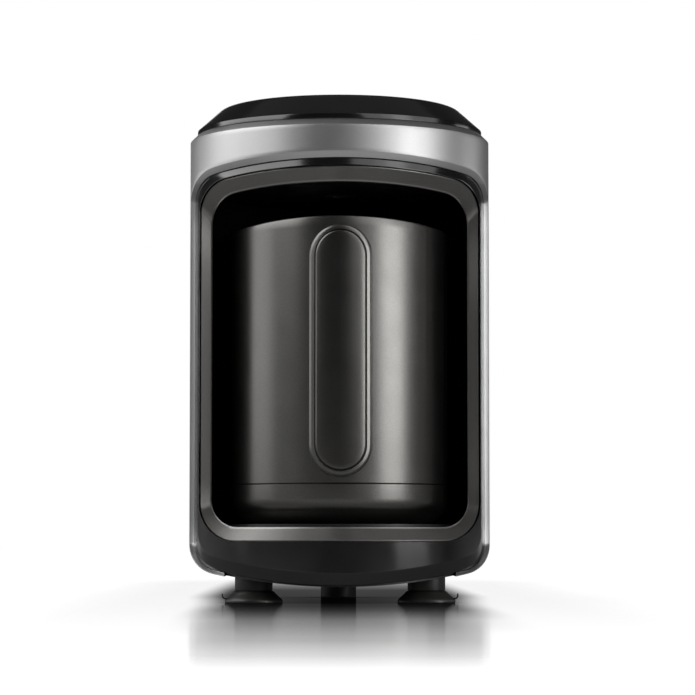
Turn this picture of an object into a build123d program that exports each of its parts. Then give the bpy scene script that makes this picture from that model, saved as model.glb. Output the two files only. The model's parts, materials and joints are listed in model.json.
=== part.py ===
from build123d import *
import os
from math import cos, radians, sin

os.makedirs("parts", exist_ok=True)

# Electric Turkish coffee maker: a tall body with a bay in its front, and a lift-out electric pot.
# Millimetres, +Z up, the front faces -Y. The origin is on the table under the middle of the box
# that holds the whole appliance. Plan sizes are measured from the pot's upright axis.

# ---- body -------------------------------------------------------------------------------------
body_radius = 79.0        # half the width; the front is a half circle of this radius
back_corner = 34.0        # plan radius of the back corners
rear_depth = 31.0         # from the back of the bay's wall to the back face
body_bottom = 7.8         # lowest point of the belly above the table
belly_rise = 10.0         # how far the belly's edge climbs from the middle to the sides
belly_corner = 17.0       # front-view radius between belly and sides
shell_wall = 2.6          # silver shell
shoulder = 3.6            # chamfer round the shell's top edge
fit = 0.15                # gap between two fixed mouldings
proud = 60.0              # how far cutting shapes run past the body

# ---- front window, black bezel and bay ----------------------------------------------------------
side_rim = 3.0            # silver left beside the front window
window_corner = 12.0      # upper corners of the window
window_depth = 5.0        # the window's cut ends this far in front of the pot axis
band_height = 20.0        # silver band over the window
arch_radius = 500.0       # shallow arch of every head line of the bay
bezel_inset = 1.4         # bezel's face behind the silver face
bezel_wall = 2.2
ring_height = 3.9         # black ring over the bay
ring_side = 3.1           # black ring beside the bay
chin_height = 23.2        # black chin under the bay
mouth_corner = 15.0       # upper corners of the bay's mouth
mouth_low_corner = 20.0   # lower corners of the bay's mouth
bezel_depth = 8.0         # the bezel's side ends this far in front of the pot axis
bay_inset = 12.0          # bay's wall inside the body's face
throat_step = 7.0         # how far the lip narrows the bay's head and foot
throat_corner = 14.0      # corner radius at the narrow end of the bay's lip
lip_depth = 6.2           # radial depth of the sloping lip
lip_land = 0.8            # blunt front edge of the lip
liner_wall = 3.0
liner_skin = 2.4          # floor and ceiling of the liner

# ---- lid and control panel ----------------------------------------------------------------------
lid_inset = 3.8           # lid's lower edge behind the silver face
lid_edge = 2.6            # upright edge of the lid
lid_height = 14.6         # shell top to the lid's flat top
lid_bevel = 13.2          # how far the slope runs inwards
lid_wall = 3.0
lid_knee_drop = 1.35      # keeps the wall even round the lid's lower bend
top_lip = 5.4             # inset of the opening under the lid
skirt_wall = 1.6
skirt_height = 4.0
panel_inset = 25.0        # panel's round edge inside the body's face
panel_back = 8.0          # panel's straight edge in front of the pot axis
panel_thick = 1.6
key_radius = 6.0          # selection buttons
key_inset = 16.0          # their centres inside the panel's edge
key_angles = {"one_cup_button": -62.0, "two_cup_button": -32.0, "milk_button": 32.0,
              "slow_brew_button": 62.0}
start_radius = 9.0
start_inset = 20.0        # start button's centre inside the panel's edge
key_gap = 0.2             # radial clearance of a button in its hole
key_proud = 0.5
key_travel = 0.8
key_flange = 1.2          # flange that keeps a button in
key_flange_thick = 1.3
stem_radius = 2.0
led_size = 2.4
led_height = 0.8
rail_half_width = 1.2     # rail that joins the light pins
rail_rise = 1.6
rail_thick = 1.4
rail_front = 14.0         # the rail ends this far in front of the pot axis
light_inset = 5.5         # light pins inside the panel's edge
light_radius = 1.2

# ---- boards in the head -------------------------------------------------------------------------
board_thick = 1.6
board_inset = 2.0         # board's round edge inside the panel's
board_back = 4.0          # straight edge of the control board in front of the pot axis
switch_size = 6.0
switch_height = 3.5
plunger_height = 0.8
plunger_radius = 1.7
deck_drop = 8.6           # underside of the control board's deck below the shell's top
deck_thick = 2.4
deck_inset = 3.0
deck_hole_radius = 26.0   # opening for the wires down to the power board
deck_hole_y = 52.0
pillar_radius = 4.0
pillar_inset = 9.0        # pillars inside the bay's wall
pillar_count = 4
pillar_angle = 45.0
board_boss_radius = 3.0
board_screw_margin = 4.0  # front screws inside the board's round edge
board_screw_angle = 17.0
rear_screw_margin = 5.0   # rear screws in front of the board's straight edge
rear_screw_inset = 18.0   # rear screws inside the board's ends
buzzer_radius = 6.0
buzzer_height = 5.0
chip_size = 9.0
chip_height = 1.4
chip_x = -17.0
sensor_radius = 9.0
sensor_height = 15.0
sensor_flange = 3.0
lens_radius = 6.0
lens_thick = 2.2
lens_fit = 0.05

# ---- pot ----------------------------------------------------------------------------------------
pot_space = 10.0          # room between the pot and the bay's wall
pot_height = 157.6        # platform to the highest point of the rim
pot_headroom = 16.1       # rim to the bay's ceiling
pot_wall = 2.4
rim_arch = 350.0          # rim falls to both spouts along this arc
cap_height = 20.5         # base cap under the pot's seam
seam_gap = 0.2
platform_thick = 2.0
platform_rim = 3.0        # platform beyond the pot
cap_corner = 13.0
spout_rise = 5.5          # spout's tip outside the pot's wall
spout_half = 11.0         # half width of a spout where it leaves the wall
spout_depth = 14.0
spout_wall = 1.6
cup_space = 7.0           # room between the steel cup and the pot's face
cup_wall = 1.0
cup_rise = 17.5           # seam to the cup's underside
cup_corner = 12.0
cup_drop = 11.6           # cup's rim below the pot's
gasket_thick = 1.6
ledge_thick = 3.0
heater_inset = 10.0       # heater's edge inside the cup's
heater_thick = 6.0
thermostat_radius = 8.0
thermostat_height = 6.0
socket_space = 2.0        # room round the connector under the pot
socket_wall = 2.5
socket_height = 16.0

# ---- handle -------------------------------------------------------------------------------------
handle_standoff = 35.5    # pot's face to the handle's front
handle_width = 31.6
handle_rise = 3.0         # seam to the handle's lower end
handle_drop = 8.0         # pot's rim to the handle's upper end
handle_bar = 13.0         # thickness of the upright bar
handle_arm = 19.0         # height of each arm
handle_edge = 2.4
handle_gap = 0.05         # between handle and pot wall
gap_corner = 6.0          # corners of the finger gap
grip_margin = 3.0         # band left round the grip
grip_depth = 3.4
grip_crown = 1.2          # how far the grip stands out of its band
screw_rise = 4.4          # upper screw above the arm's lower face
screw_radius = 2.0
screw_head_radius = 3.6
screw_head = 2.0
screw_length = 11.0

# ---- connector, base, feet and back -------------------------------------------------------------
connector_radius = 16.0
connector_rise = 8.0      # above the platform
connector_depth = 12.0    # below the platform's top
connector_flange = 5.0
groove_radii = (3.4, 7.9, 12.4)   # middles of the connector's three ring grooves
groove_width = 2.4
contact_width = 0.8
contact_height = 4.0
pan_lift = 0.6            # pan's face above the belly line
pan_thick = 2.4
pan_side = 20.2           # pan's edge inside the body's side
foot_side = 35.0          # front feet inside the body's side
foot_front = 31.0         # front feet behind the body's foremost point
post_radius = 9.6
cup_foot_radius = 14.75
cup_foot_height = 6.0
cup_foot_edge = 3.0       # height of a suction cup's widest part
cup_foot_hollow = 1.6
tab_proud = 1.55          # pull tab beyond the suction cup
tab_width = 8.0
tab_thick = 2.0
rear_foot_inset = 18.0    # rear foot in front of the back face
rear_foot_radius = 9.8
cover_margin = 1.0        # flat shell left beside the rear cover
cover_rise = 16.2         # belly to the opening behind the rear cover
cover_drop = 14.6         # shell's top to that opening
back_window_corner = 9.0
cover_seat = 1.4          # recess in the shell that the rear cover lies in
cover_lap = 6.0           # how far the rear cover overlaps the shell
cover_rib = 2.2           # thicker middle of the rear cover
gland_radius = 7.0
gland_bore = 3.7
gland_rise = 14.0         # opening's lower edge to the gland's middle
gland_proud = 3.5
gland_flange = 2.5
gland_length = 14.0
vent_count = 9
vent_spacing = 5.0
vent_width = 2.2
vent_length = 56.0
vent_drop = 34.0          # opening's upper edge to the middle of the vents
m3_radius = 1.5
m3_head_radius = 2.6
m3_head = 2.0
m3_length = 9.0
leg_spread = 38.0         # half the distance between the liner's rear legs
leg_rear = 28.0           # they stand this far behind the pot axis
leg_inset = 25.0          # front leg inside the bay's wall
leg_radius = 4.5
boss_height = 10.2        # belly to the top of the pan's bosses
leg_seat = 3.0            # plastic under a leg that its screw passes
base_vent_count = 5
base_vent_length = 34.0
base_vent_y = 52.0

# ---- power electronics behind the bay -----------------------------------------------------------
power_board_inset = 3.0   # board's edges inside the rear opening
power_board_rise = 38.0   # opening's lower edge to the board
power_board_height = 106.0
power_board_gap = 9.0     # between board and rear cover
power_boss_radius = 3.2
power_boss_inset = 6.0    # from the board's side edges
power_boss_margin = 8.0   # from the board's upper and lower edges
part_inset = 17.5         # transformer, relay and capacitor from the board's side edges
transformer_size = (24.0, 13.0, 30.0)
relay_size = (19.0, 10.0, 16.0)
capacitor_radius = 5.0
capacitor_length = 20.0
terminal_size = (16.0, 9.0, 12.0)

# ---- places worked out from the sizes above -----------------------------------------------------
bay_radius = body_radius - bay_inset
liner_radius = bay_radius + liner_wall
lip_radius = liner_radius + lip_depth
back_reach = liner_radius + rear_depth
cut_reach = back_reach + proud
pot_radius = bay_radius - pot_space
pot_inside = pot_radius - pot_wall
cup_radius = pot_radius - cup_space
handle_reach = pot_radius + handle_standoff
handle_face = handle_reach - grip_crown
socket_radius = connector_radius + socket_space
panel_radius = body_radius - panel_inset
board_radius = panel_radius - board_inset

axis_y = (handle_reach - back_reach - gland_proud) / 2
spin = Axis((0, axis_y, 0), (0, 0, 1))
upright = Plane(origin=(0, axis_y, 0), x_dir=(1, 0, 0), z_dir=(0, -1, 0))
side_view = Plane(origin=(0, axis_y, 0), x_dir=(0, 1, 0), z_dir=(1, 0, 0))

chin_top = body_bottom + chin_height
bay_floor = chin_top + throat_step
platform_top = bay_floor + platform_thick
seam_z = platform_top + cap_height
pot_top = platform_top + pot_height
bay_ceiling = pot_top + pot_headroom
mouth_top = bay_ceiling + throat_step
window_top = mouth_top + ring_height
shell_top = window_top + band_height
lid_low = shell_top + fit
lid_top = shell_top + lid_height
lid_under = lid_top - lid_wall
liner_top = bay_ceiling + liner_skin
liner_low = bay_floor - liner_skin
leg_bottom = body_bottom + boss_height
leg_places = ((-leg_spread, leg_rear), (leg_spread, leg_rear), (0.0, leg_inset - bay_radius))

window_half = body_radius - side_rim
mouth_half = window_half - ring_side
side_face = -(liner_radius**2 - bay_radius**2) ** 0.5      # front faces of the bay's side walls
pan_inset = bezel_inset + bezel_wall
pan_half = body_radius - pan_side
foot_x = body_radius - foot_side
foot_y = foot_front - body_radius
rear_foot_y = back_reach - rear_foot_inset

cup_bottom = seam_z + cup_rise
cup_top = pot_top - cup_drop
seat_z = cup_top - cup_wall - gasket_thick
rim_low = pot_top - pot_radius**2 / (2 * rim_arch)     # rim height beside the spouts
socket_top = platform_top + pot_wall + socket_height
handle_bottom = seam_z + handle_rise
handle_top = pot_top - handle_drop
handle_length = handle_top - handle_bottom
handle_middle = (handle_top + handle_bottom) / 2
screw_heights = (handle_bottom + handle_arm / 2, handle_top - handle_arm + screw_rise)

key_top = lid_top + key_proud
flange_top = lid_under - 2 * fit
stem_bottom = flange_top - key_flange_thick - key_travel
switch_top = stem_bottom - key_travel - fit
board_top = switch_top - plunger_height - switch_height
board_low = board_top - board_thick
panel_low = lid_top - panel_thick
deck_z = shell_top - deck_drop
deck_top = deck_z + deck_thick

back_half = body_radius - back_corner - cover_lap - cover_margin
back_low = body_bottom + cover_rise
back_high = shell_top - cover_drop
cover_back = back_reach - cover_seat - cover_rib
cover_screw_x = back_half + cover_lap / 2
cover_screw_heights = (back_low + back_window_corner, (back_low + back_high) / 2,
                       back_high - back_window_corner)
gland_z = back_low + gland_rise
vent_z = back_high - vent_drop
power_back = cover_back - power_board_gap
power_front = power_back - board_thick
power_board_half = back_half - power_board_inset
power_board_low = back_low + power_board_rise
power_board_high = power_board_low + power_board_height
power_board_middle = (power_board_low + power_board_high) / 2
power_boss_x = power_board_half - power_boss_inset
part_x = power_board_half - part_inset
power_boss_heights = (power_board_low + power_boss_margin, power_board_high - power_boss_margin)


def level(z):
    """Flat sketch plane at a height, centred on the pot's axis."""
    return Plane(origin=(0, axis_y, z))


def save(builder, name):
    """Label a finished sub-part and write its STEP file."""
    builder.part.label = name
    export_step(builder.part, f"parts/{name}.step")


def round_bar(radius, low, high, x=0.0, y=0.0, mode=Mode.ADD):
    """Upright cylinder between two heights."""
    with Locations((x, axis_y + y, low)):
        Cylinder(radius, high - low, align=(Align.CENTER, Align.CENTER, Align.MIN), mode=mode)


def block(x_span, y_span, z_span, mode=Mode.ADD):
    """Box between two corners, each span given from the pot's axis."""
    size = [span[1] - span[0] for span in (x_span, y_span, z_span)]
    with Locations((x_span[0], axis_y + y_span[0], z_span[0])):
        Box(*size, align=(Align.MIN, Align.MIN, Align.MIN), mode=mode)


def back_pin(radius, x, z, y_front, y_back, mode=Mode.ADD):
    """Cylinder along Y between two depths."""
    with Locations(Location((x, axis_y + y_back, z), (90, 0, 0))):
        Cylinder(radius, y_back - y_front, align=(Align.CENTER, Align.CENTER, Align.MIN),
                 mode=mode)


def body_plan(inset):
    """Plan of the body: half circle in front, straight sides, round back corners."""
    half = body_radius - inset
    back = back_reach - inset
    with BuildLine() as outline:
        ThreePointArc((-half, 0), (0, -half), (half, 0))
        FilletPolyline((half, 0), (half, back), (-half, back), (-half, 0),
                       radius=back_corner - inset)
    make_face(outline.edges())


def belly_outline(inset, top):
    """Front view of the body up to a height: arched belly, round lower corners."""
    half = body_radius - inset
    low = body_bottom + inset
    with BuildLine() as outline:
        ThreePointArc((-half, low + belly_rise), (0, low), (half, low + belly_rise))
        Polyline((half, low + belly_rise), (half, top), (-half, top), (-half, low + belly_rise))
    face = make_face(outline.edges())
    fillet(face.vertices().group_by(Axis.Y)[0], radius=belly_corner - inset)


def arched_outline(half, low, high, high_corner, low_corner):
    """Front view of an opening with a shallow arched head."""
    spring = high - half**2 / (2 * arch_radius)
    with BuildLine() as outline:
        ThreePointArc((-half, spring), (0, high), (half, spring))
        Polyline((half, spring), (half, low), (-half, low), (-half, spring))
    face = make_face(outline.edges())
    upper = face.vertices().group_by(Axis.Y)[-1]
    lower = face.vertices().group_by(Axis.Y)[0]
    fillet(upper, radius=high_corner)
    if low_corner:
        fillet(lower, radius=low_corner)


def body_block(inset, top):
    """Solid body drawn inset all round, with its belly."""
    with BuildPart() as blank:
        with BuildSketch(level(0)):
            body_plan(inset)
        extrude(amount=top)
        with BuildSketch(upright):
            belly_outline(inset, top + proud)
        extrude(amount=cut_reach, both=True, mode=Mode.INTERSECT)
    return blank.part


def lid_block(low_inset, low, knee, high_inset, high):
    """Lid blank: upright edge from low to knee, then a slope to the flat top."""
    with BuildPart() as blank:
        with BuildSketch(level(low)):
            body_plan(low_inset)
        extrude(amount=knee - low)
        with BuildSketch(level(knee)):
            body_plan(low_inset)
        with BuildSketch(level(high)):
            body_plan(high_inset)
        loft(ruled=True)
    return blank.part


def filleted_drum(radius, low, high, corner):
    """Cylinder whose lower edge is rounded."""
    with BuildPart() as drum:
        round_bar(radius, low, high)
        fillet(drum.edges().group_by(Axis.Z)[0], radius=corner)
    return drum.part


def head_plan(radius, back):
    """Front segment of a circle, cut straight behind."""
    Circle(radius)
    with Locations((0, radius - back)):
        Rectangle(2 * radius, 2 * radius, mode=Mode.SUBTRACT)


def on_circle(radius, angle):
    """Place on a circle round the axis; angle 0 is straight in front, positive to the right."""
    return radius * sin(radians(angle)), -radius * cos(radians(angle))


buttons = {name: on_circle(panel_radius - key_inset, angle) + (key_radius,)
           for name, angle in key_angles.items()}
buttons["start_button"] = on_circle(panel_radius - start_inset, 0.0) + (start_radius,)
lights = [on_circle(panel_radius - light_inset, angle)
          for angle in list(key_angles.values()) + [0.0]]
board_screw_places = [on_circle(board_radius - board_screw_margin, side * board_screw_angle)
                      for side in (-1, 1)]
board_screw_places += [(side * (board_radius - rear_screw_inset), -board_back - rear_screw_margin)
                       for side in (-1, 1)]

# ---- the hollow mouth of the bay, used to cut the bezel and the lip -----------------------------
with BuildPart() as mouth:
    with BuildSketch(upright):
        arched_outline(mouth_half, chin_top, mouth_top, mouth_corner, mouth_low_corner)
    extrude(amount=cut_reach, both=True)

with BuildPart() as throat:
    with BuildSketch(upright):
        with BuildLine():
            Polyline((0, bay_floor), (liner_radius, bay_floor),
                     (lip_radius, chin_top), (cut_reach, chin_top),
                     (cut_reach, mouth_top), (lip_radius, mouth_top),
                     (liner_radius, bay_ceiling), (0, bay_ceiling), close=True)
        make_face()
    revolve(axis=spin)
    with BuildSketch(upright):
        arched_outline(mouth_half - lip_land, chin_top + lip_land, mouth_top - lip_land,
                       mouth_corner - lip_land, mouth_low_corner - lip_land)
    extrude(amount=cut_reach, both=True, mode=Mode.INTERSECT)
    block((-cut_reach, cut_reach), (side_face, cut_reach), (0, shell_top), mode=Mode.SUBTRACT)
    with BuildSketch(upright):
        arched_outline(bay_radius, bay_floor, bay_ceiling, throat_corner, throat_corner)
    extrude(amount=cut_reach, both=True)

# ---- silver shell -------------------------------------------------------------------------------
shell_solid = body_block(0.0, shell_top)
shell_core = body_block(shell_wall, shell_top - shoulder)


def front_window(gap):
    """Front opening of the shell, made smaller by a gap for what fits in it."""
    with BuildPart() as opening:
        with BuildSketch(upright):
            belly_outline(side_rim + gap, shell_top)
        extrude(amount=cut_reach, both=True)
        with BuildSketch(upright):
            arched_outline(window_half - gap, 0, window_top - gap, window_corner - gap, 0)
        extrude(amount=cut_reach, both=True, mode=Mode.INTERSECT)
    return opening.part


def rear_outline(grow):
    """Outline of the rear window, grown all round."""
    with Locations((0, (back_low + back_high) / 2)):
        RectangleRounded(2 * (back_half + grow), back_high - back_low + 2 * grow,
                         back_window_corner + grow)


with BuildPart() as window:
    add(front_window(0.0))
    block((-cut_reach, cut_reach), (-window_depth, cut_reach), (0, shell_top), mode=Mode.SUBTRACT)

with BuildPart() as outer_shell:
    add(shell_solid)
    chamfer(outer_shell.faces().sort_by(Axis.Z)[-1].edges(), length=shoulder - fit)
    add(shell_core, mode=Mode.SUBTRACT)
    with BuildSketch(level(shell_top - 2 * shoulder)):
        body_plan(top_lip)
    extrude(amount=3 * shoulder, mode=Mode.SUBTRACT)
    add(window.part, mode=Mode.SUBTRACT)
    block((-pan_half - fit, pan_half + fit), (-cut_reach, back_reach - pan_inset + fit),
          (0, body_bottom + belly_rise), mode=Mode.SUBTRACT)
    with BuildSketch(upright):
        rear_outline(0.0)
    extrude(amount=-cut_reach, mode=Mode.SUBTRACT)
    with BuildSketch(Plane(origin=(0, axis_y + back_reach - cover_seat, 0), x_dir=(1, 0, 0),
                           z_dir=(0, -1, 0))):
        rear_outline(cover_lap)
    extrude(amount=-proud, mode=Mode.SUBTRACT)
    for side in (-1, 1):
        for height in cover_screw_heights:
            back_pin(m3_radius, side * cover_screw_x, height,
                     back_reach - 2 * shell_wall, back_reach, mode=Mode.SUBTRACT)
save(outer_shell, "outer_shell")

# ---- black bezel: ring round the bay and chin below it ------------------------------------------
bezel_solid = body_block(bezel_inset, shell_top)

with BuildPart() as front_bezel:
    add(bezel_solid)
    add(front_window(fit), mode=Mode.INTERSECT)
    block((-cut_reach, cut_reach), (-bezel_depth, cut_reach), (0, shell_top), mode=Mode.SUBTRACT)
    with BuildSketch(level(0)):
        body_plan(pan_inset)
    extrude(amount=shell_top, mode=Mode.SUBTRACT)
    add(mouth.part, mode=Mode.SUBTRACT)
save(front_bezel, "front_bezel")

# ---- satin lip that slopes from the bezel into the bay ------------------------------------------
with BuildPart() as bay_lip:
    with BuildSketch(level(chin_top + fit)):
        Circle(lip_radius)
        Circle(liner_radius + fit, mode=Mode.SUBTRACT)
        with Locations((0, cut_reach - bezel_depth)):
            Rectangle(2 * cut_reach, 2 * cut_reach, mode=Mode.SUBTRACT)
    extrude(amount=mouth_top - chin_top - 2 * fit)
    with BuildSketch(upright):
        arched_outline(mouth_half - fit, chin_top + fit, mouth_top - fit,
                       mouth_corner - fit, mouth_low_corner - fit)
    extrude(amount=cut_reach, both=True, mode=Mode.INTERSECT)
    add(throat.part, mode=Mode.SUBTRACT)
save(bay_lip, "bay_lip")

# ---- bay liner: floor, curved back wall and ceiling, standing on three legs ---------------------
with BuildPart() as bay_liner:
    round_bar(liner_radius, liner_low, liner_top)
    round_bar(bay_radius, bay_floor, bay_ceiling, mode=Mode.SUBTRACT)
    block((-bay_radius, bay_radius), (-cut_reach, 0), (bay_floor, bay_ceiling), mode=Mode.SUBTRACT)
    for leg_x, leg_y in leg_places:
        round_bar(leg_radius, leg_bottom, liner_low, leg_x, leg_y)
        round_bar(m3_radius, leg_bottom, leg_bottom + m3_length, leg_x, leg_y, mode=Mode.SUBTRACT)
    round_bar(connector_radius + fit, liner_low, bay_floor, mode=Mode.SUBTRACT)
    round_bar(sensor_radius + fit, bay_ceiling, liner_top, mode=Mode.SUBTRACT)
save(bay_liner, "bay_liner")

# ---- base pan -----------------------------------------------------------------------------------
pan_solid = body_block(pan_lift, shell_top)
pan_core = body_block(pan_lift + pan_thick, shell_top)

with BuildPart() as base_pan:
    with BuildSketch(level(0)):
        body_plan(pan_inset)
    extrude(amount=leg_bottom)
    add(pan_solid, mode=Mode.INTERSECT)
    block((-pan_half, pan_half), (-cut_reach, cut_reach), (0, leg_bottom), mode=Mode.INTERSECT)
    add(pan_core, mode=Mode.SUBTRACT)
    for leg_x, leg_y in leg_places:
        round_bar(leg_radius, leg_bottom - leg_seat - pan_thick, leg_bottom, leg_x, leg_y)
        round_bar(leg_radius, body_bottom + pan_lift + pan_thick, leg_bottom, leg_x, leg_y)
        round_bar(m3_head_radius + fit, 0, leg_bottom - leg_seat, leg_x, leg_y, mode=Mode.SUBTRACT)
        round_bar(m3_radius + fit, 0, leg_bottom, leg_x, leg_y, mode=Mode.SUBTRACT)
    with BuildSketch(level(0)):
        with Locations((0, base_vent_y)):
            with GridLocations(0, vent_spacing, 1, base_vent_count):
                SlotOverall(base_vent_length, vent_width)
    extrude(amount=leg_bottom, mode=Mode.SUBTRACT)
save(base_pan, "base_pan")

with BuildPart() as base_screws:
    for leg_x, leg_y in leg_places:
        seat = leg_bottom - leg_seat
        round_bar(m3_head_radius, seat - m3_head, seat, leg_x, leg_y)
        round_bar(m3_radius, seat, seat + m3_length, leg_x, leg_y)
save(base_screws, "base_screws")

# ---- feet ---------------------------------------------------------------------------------------
for side, foot in ((-1, "left"), (1, "right")):
    with BuildPart() as foot_post:
        round_bar(post_radius, cup_foot_height, leg_bottom, side * foot_x, foot_y)
        add(pan_solid, mode=Mode.SUBTRACT)
    save(foot_post, f"{foot}_foot_post")

    with BuildPart() as suction_cup:
        with Locations((side * foot_x, axis_y + foot_y, 0)):
            Cone(cup_foot_radius, cup_foot_radius - cup_foot_hollow, cup_foot_edge,
                 align=(Align.CENTER, Align.CENTER, Align.MIN))
            with Locations((0, 0, cup_foot_edge)):
                Cone(cup_foot_radius - cup_foot_hollow, post_radius,
                     cup_foot_height - cup_foot_edge,
                     align=(Align.CENTER, Align.CENTER, Align.MIN))
        cup_edge = foot_x + cup_foot_radius
        tab_span = sorted((side * (cup_edge - tab_width / 2), side * (cup_edge + tab_proud)))
        block(tab_span, (foot_y - tab_width / 2, foot_y + tab_width / 2),
              (cup_foot_hollow, cup_foot_hollow + tab_thick))
        round_bar(post_radius, 0, cup_foot_hollow, side * foot_x, foot_y, mode=Mode.SUBTRACT)
    save(suction_cup, f"{foot}_suction_cup")

with BuildPart() as rear_foot:
    round_bar(rear_foot_radius, 0, leg_bottom, 0, rear_foot_y)
    add(pan_solid, mode=Mode.SUBTRACT)
save(rear_foot, "rear_foot")

# ---- rear cover, cord gland and screws ----------------------------------------------------------
with BuildPart() as rear_cover:
    with BuildSketch(Plane(origin=(0, axis_y + cover_back, 0), x_dir=(1, 0, 0),
                           z_dir=(0, -1, 0))):
        rear_outline(-fit)
    extrude(amount=-cover_rib)
    with BuildSketch(Plane(origin=(0, axis_y + cover_back + cover_rib, 0), x_dir=(1, 0, 0),
                           z_dir=(0, -1, 0))):
        rear_outline(cover_lap - fit)
    extrude(amount=-cover_seat)
    for side in (-1, 1):
        for height in power_boss_heights:
            back_pin(power_boss_radius, side * power_boss_x, height, power_back, cover_back)
            back_pin(m3_radius, side * power_boss_x, height, power_back, cover_back,
                     mode=Mode.SUBTRACT)
        for height in cover_screw_heights:
            back_pin(m3_head_radius + fit, side * cover_screw_x, height,
                     back_reach - cover_seat / 2, back_reach, mode=Mode.SUBTRACT)
            back_pin(m3_radius + fit, side * cover_screw_x, height, cover_back, back_reach,
                     mode=Mode.SUBTRACT)
    back_pin(gland_radius + fit, 0, gland_z, cover_back, back_reach, mode=Mode.SUBTRACT)
    with BuildSketch(upright):
        with Locations((0, vent_z)):
            with GridLocations(0, vent_spacing, 1, vent_count):
                SlotOverall(vent_length, vent_width)
    extrude(amount=-cut_reach, mode=Mode.SUBTRACT)
save(rear_cover, "rear_cover")

with BuildPart() as cord_gland:
    back_pin(gland_radius, 0, gland_z, back_reach + gland_proud - gland_length, back_reach)
    back_pin(gland_radius + gland_flange, 0, gland_z, back_reach, back_reach + gland_proud)
    back_pin(gland_bore, 0, gland_z, 0, cut_reach, mode=Mode.SUBTRACT)
save(cord_gland, "cord_gland")

with BuildPart() as cover_screws:
    for side in (-1, 1):
        for height in cover_screw_heights:
            back_pin(m3_head_radius, side * cover_screw_x, height,
                     back_reach - cover_seat / 2, back_reach - fit)
            back_pin(m3_radius, side * cover_screw_x, height,
                     back_reach - 2 * shell_wall, back_reach - cover_seat / 2)
save(cover_screws, "cover_screws")

# ---- power board on the rear cover --------------------------------------------------------------
with BuildPart() as power_board:
    block((-power_board_half, power_board_half), (power_front, power_back),
          (power_board_low, power_board_high))
    for side in (-1, 1):
        for height in power_boss_heights:
            back_pin(m3_radius + fit, side * power_boss_x, height, power_front, power_back,
                     mode=Mode.SUBTRACT)
save(power_board, "power_board")

with BuildPart() as power_board_screws:
    for side in (-1, 1):
        for height in power_boss_heights:
            back_pin(m3_head_radius, side * power_boss_x, height, power_front - m3_head,
                     power_front)
            back_pin(m3_radius, side * power_boss_x, height, power_front,
                     power_front + m3_length)
save(power_board_screws, "power_board_screws")


def board_part(size, x, z):
    """Box-shaped component soldered to the front of the power board."""
    block((x - size[0] / 2, x + size[0] / 2), (power_front - size[1], power_front),
          (z - size[2] / 2, z + size[2] / 2))


with BuildPart() as transformer:
    board_part(transformer_size, -part_x, power_board_middle)
save(transformer, "transformer")

with BuildPart() as relay:
    board_part(relay_size, part_x, power_board_middle + relay_size[2])
save(relay, "relay")

with BuildPart() as capacitor:
    round_bar(capacitor_radius, power_board_middle - capacitor_length, power_board_middle,
              part_x, power_front - capacitor_radius)
save(capacitor, "capacitor")

with BuildPart() as terminal_block:
    board_part(terminal_size, 0, power_board_low + terminal_size[2])
save(terminal_block, "terminal_block")

# ---- platform and connector under the pot -------------------------------------------------------
with BuildPart() as pot_platform:
    round_bar(pot_radius + platform_rim, bay_floor, platform_top)
    round_bar(connector_radius + fit, bay_floor, platform_top, mode=Mode.SUBTRACT)
save(pot_platform, "pot_platform")

with BuildPart() as base_connector:
    round_bar(connector_radius, platform_top - connector_depth, platform_top + connector_rise)
    round_bar(connector_radius + connector_flange, platform_top - connector_depth,
              liner_low - fit)
    for radius in groove_radii:
        with BuildSketch(level(platform_top)):
            Circle(radius + groove_width / 2)
            Circle(radius - groove_width / 2, mode=Mode.SUBTRACT)
        extrude(amount=connector_rise, mode=Mode.SUBTRACT)
save(base_connector, "base_connector")

with BuildPart() as connector_contacts:
    for radius in groove_radii:
        with BuildSketch(level(platform_top)):
            Circle(radius + groove_width / 2)
            Circle(radius + groove_width / 2 - contact_width, mode=Mode.SUBTRACT)
        extrude(amount=contact_height)
save(connector_contacts, "connector_contacts")

# ---- pot wall with its two spouts ---------------------------------------------------------------


def beak(reach, half, depth):
    """Wedge that swells out of the pot wall to a spout on the right, then mirrored to the left."""
    foot = rim_low - depth
    with BuildPart() as wedge:
        with BuildSketch(upright):
            with BuildLine():
                Polyline((cup_radius, pot_top), (reach, pot_top), (reach, rim_low),
                         (pot_radius, foot), (cup_radius, foot), close=True)
            make_face()
        extrude(amount=half, both=True)
        with BuildSketch(level(foot)):
            with BuildLine():
                Polyline((cup_radius, -half), (reach, 0), (cup_radius, half), close=True)
            make_face()
        extrude(amount=pot_top - foot, mode=Mode.INTERSECT)
        mirror(about=Plane.YZ)
    return wedge.part


spouts = beak(pot_radius + spout_rise, spout_half, spout_depth)
spout_channels = beak(pot_radius + spout_rise - spout_wall, spout_half - spout_wall,
                      spout_depth - spout_wall)

with BuildPart() as pot_body:
    round_bar(pot_radius, seam_z + seam_gap, pot_top)
    add(spouts)
    round_bar(pot_inside, seam_z + seam_gap, pot_top, mode=Mode.SUBTRACT)
    add(spout_channels, mode=Mode.SUBTRACT)
    round_bar(pot_inside, seat_z - ledge_thick, seat_z)
    round_bar(cup_radius + cup_wall, seat_z - ledge_thick, seat_z, mode=Mode.SUBTRACT)
    with BuildSketch(upright):
        with BuildLine():
            ThreePointArc((-pot_radius, rim_low), (0, pot_top), (pot_radius, rim_low))
            Polyline((pot_radius, rim_low), (cut_reach, rim_low), (cut_reach, seam_z),
                     (-cut_reach, seam_z), (-cut_reach, rim_low), (-pot_radius, rim_low))
        make_face()
    extrude(amount=cut_reach, both=True, mode=Mode.INTERSECT)
    for height in screw_heights:
        back_pin(screw_radius + fit, 0, height, -pot_radius - pot_wall, 0, mode=Mode.SUBTRACT)
save(pot_body, "pot_body")

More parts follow.
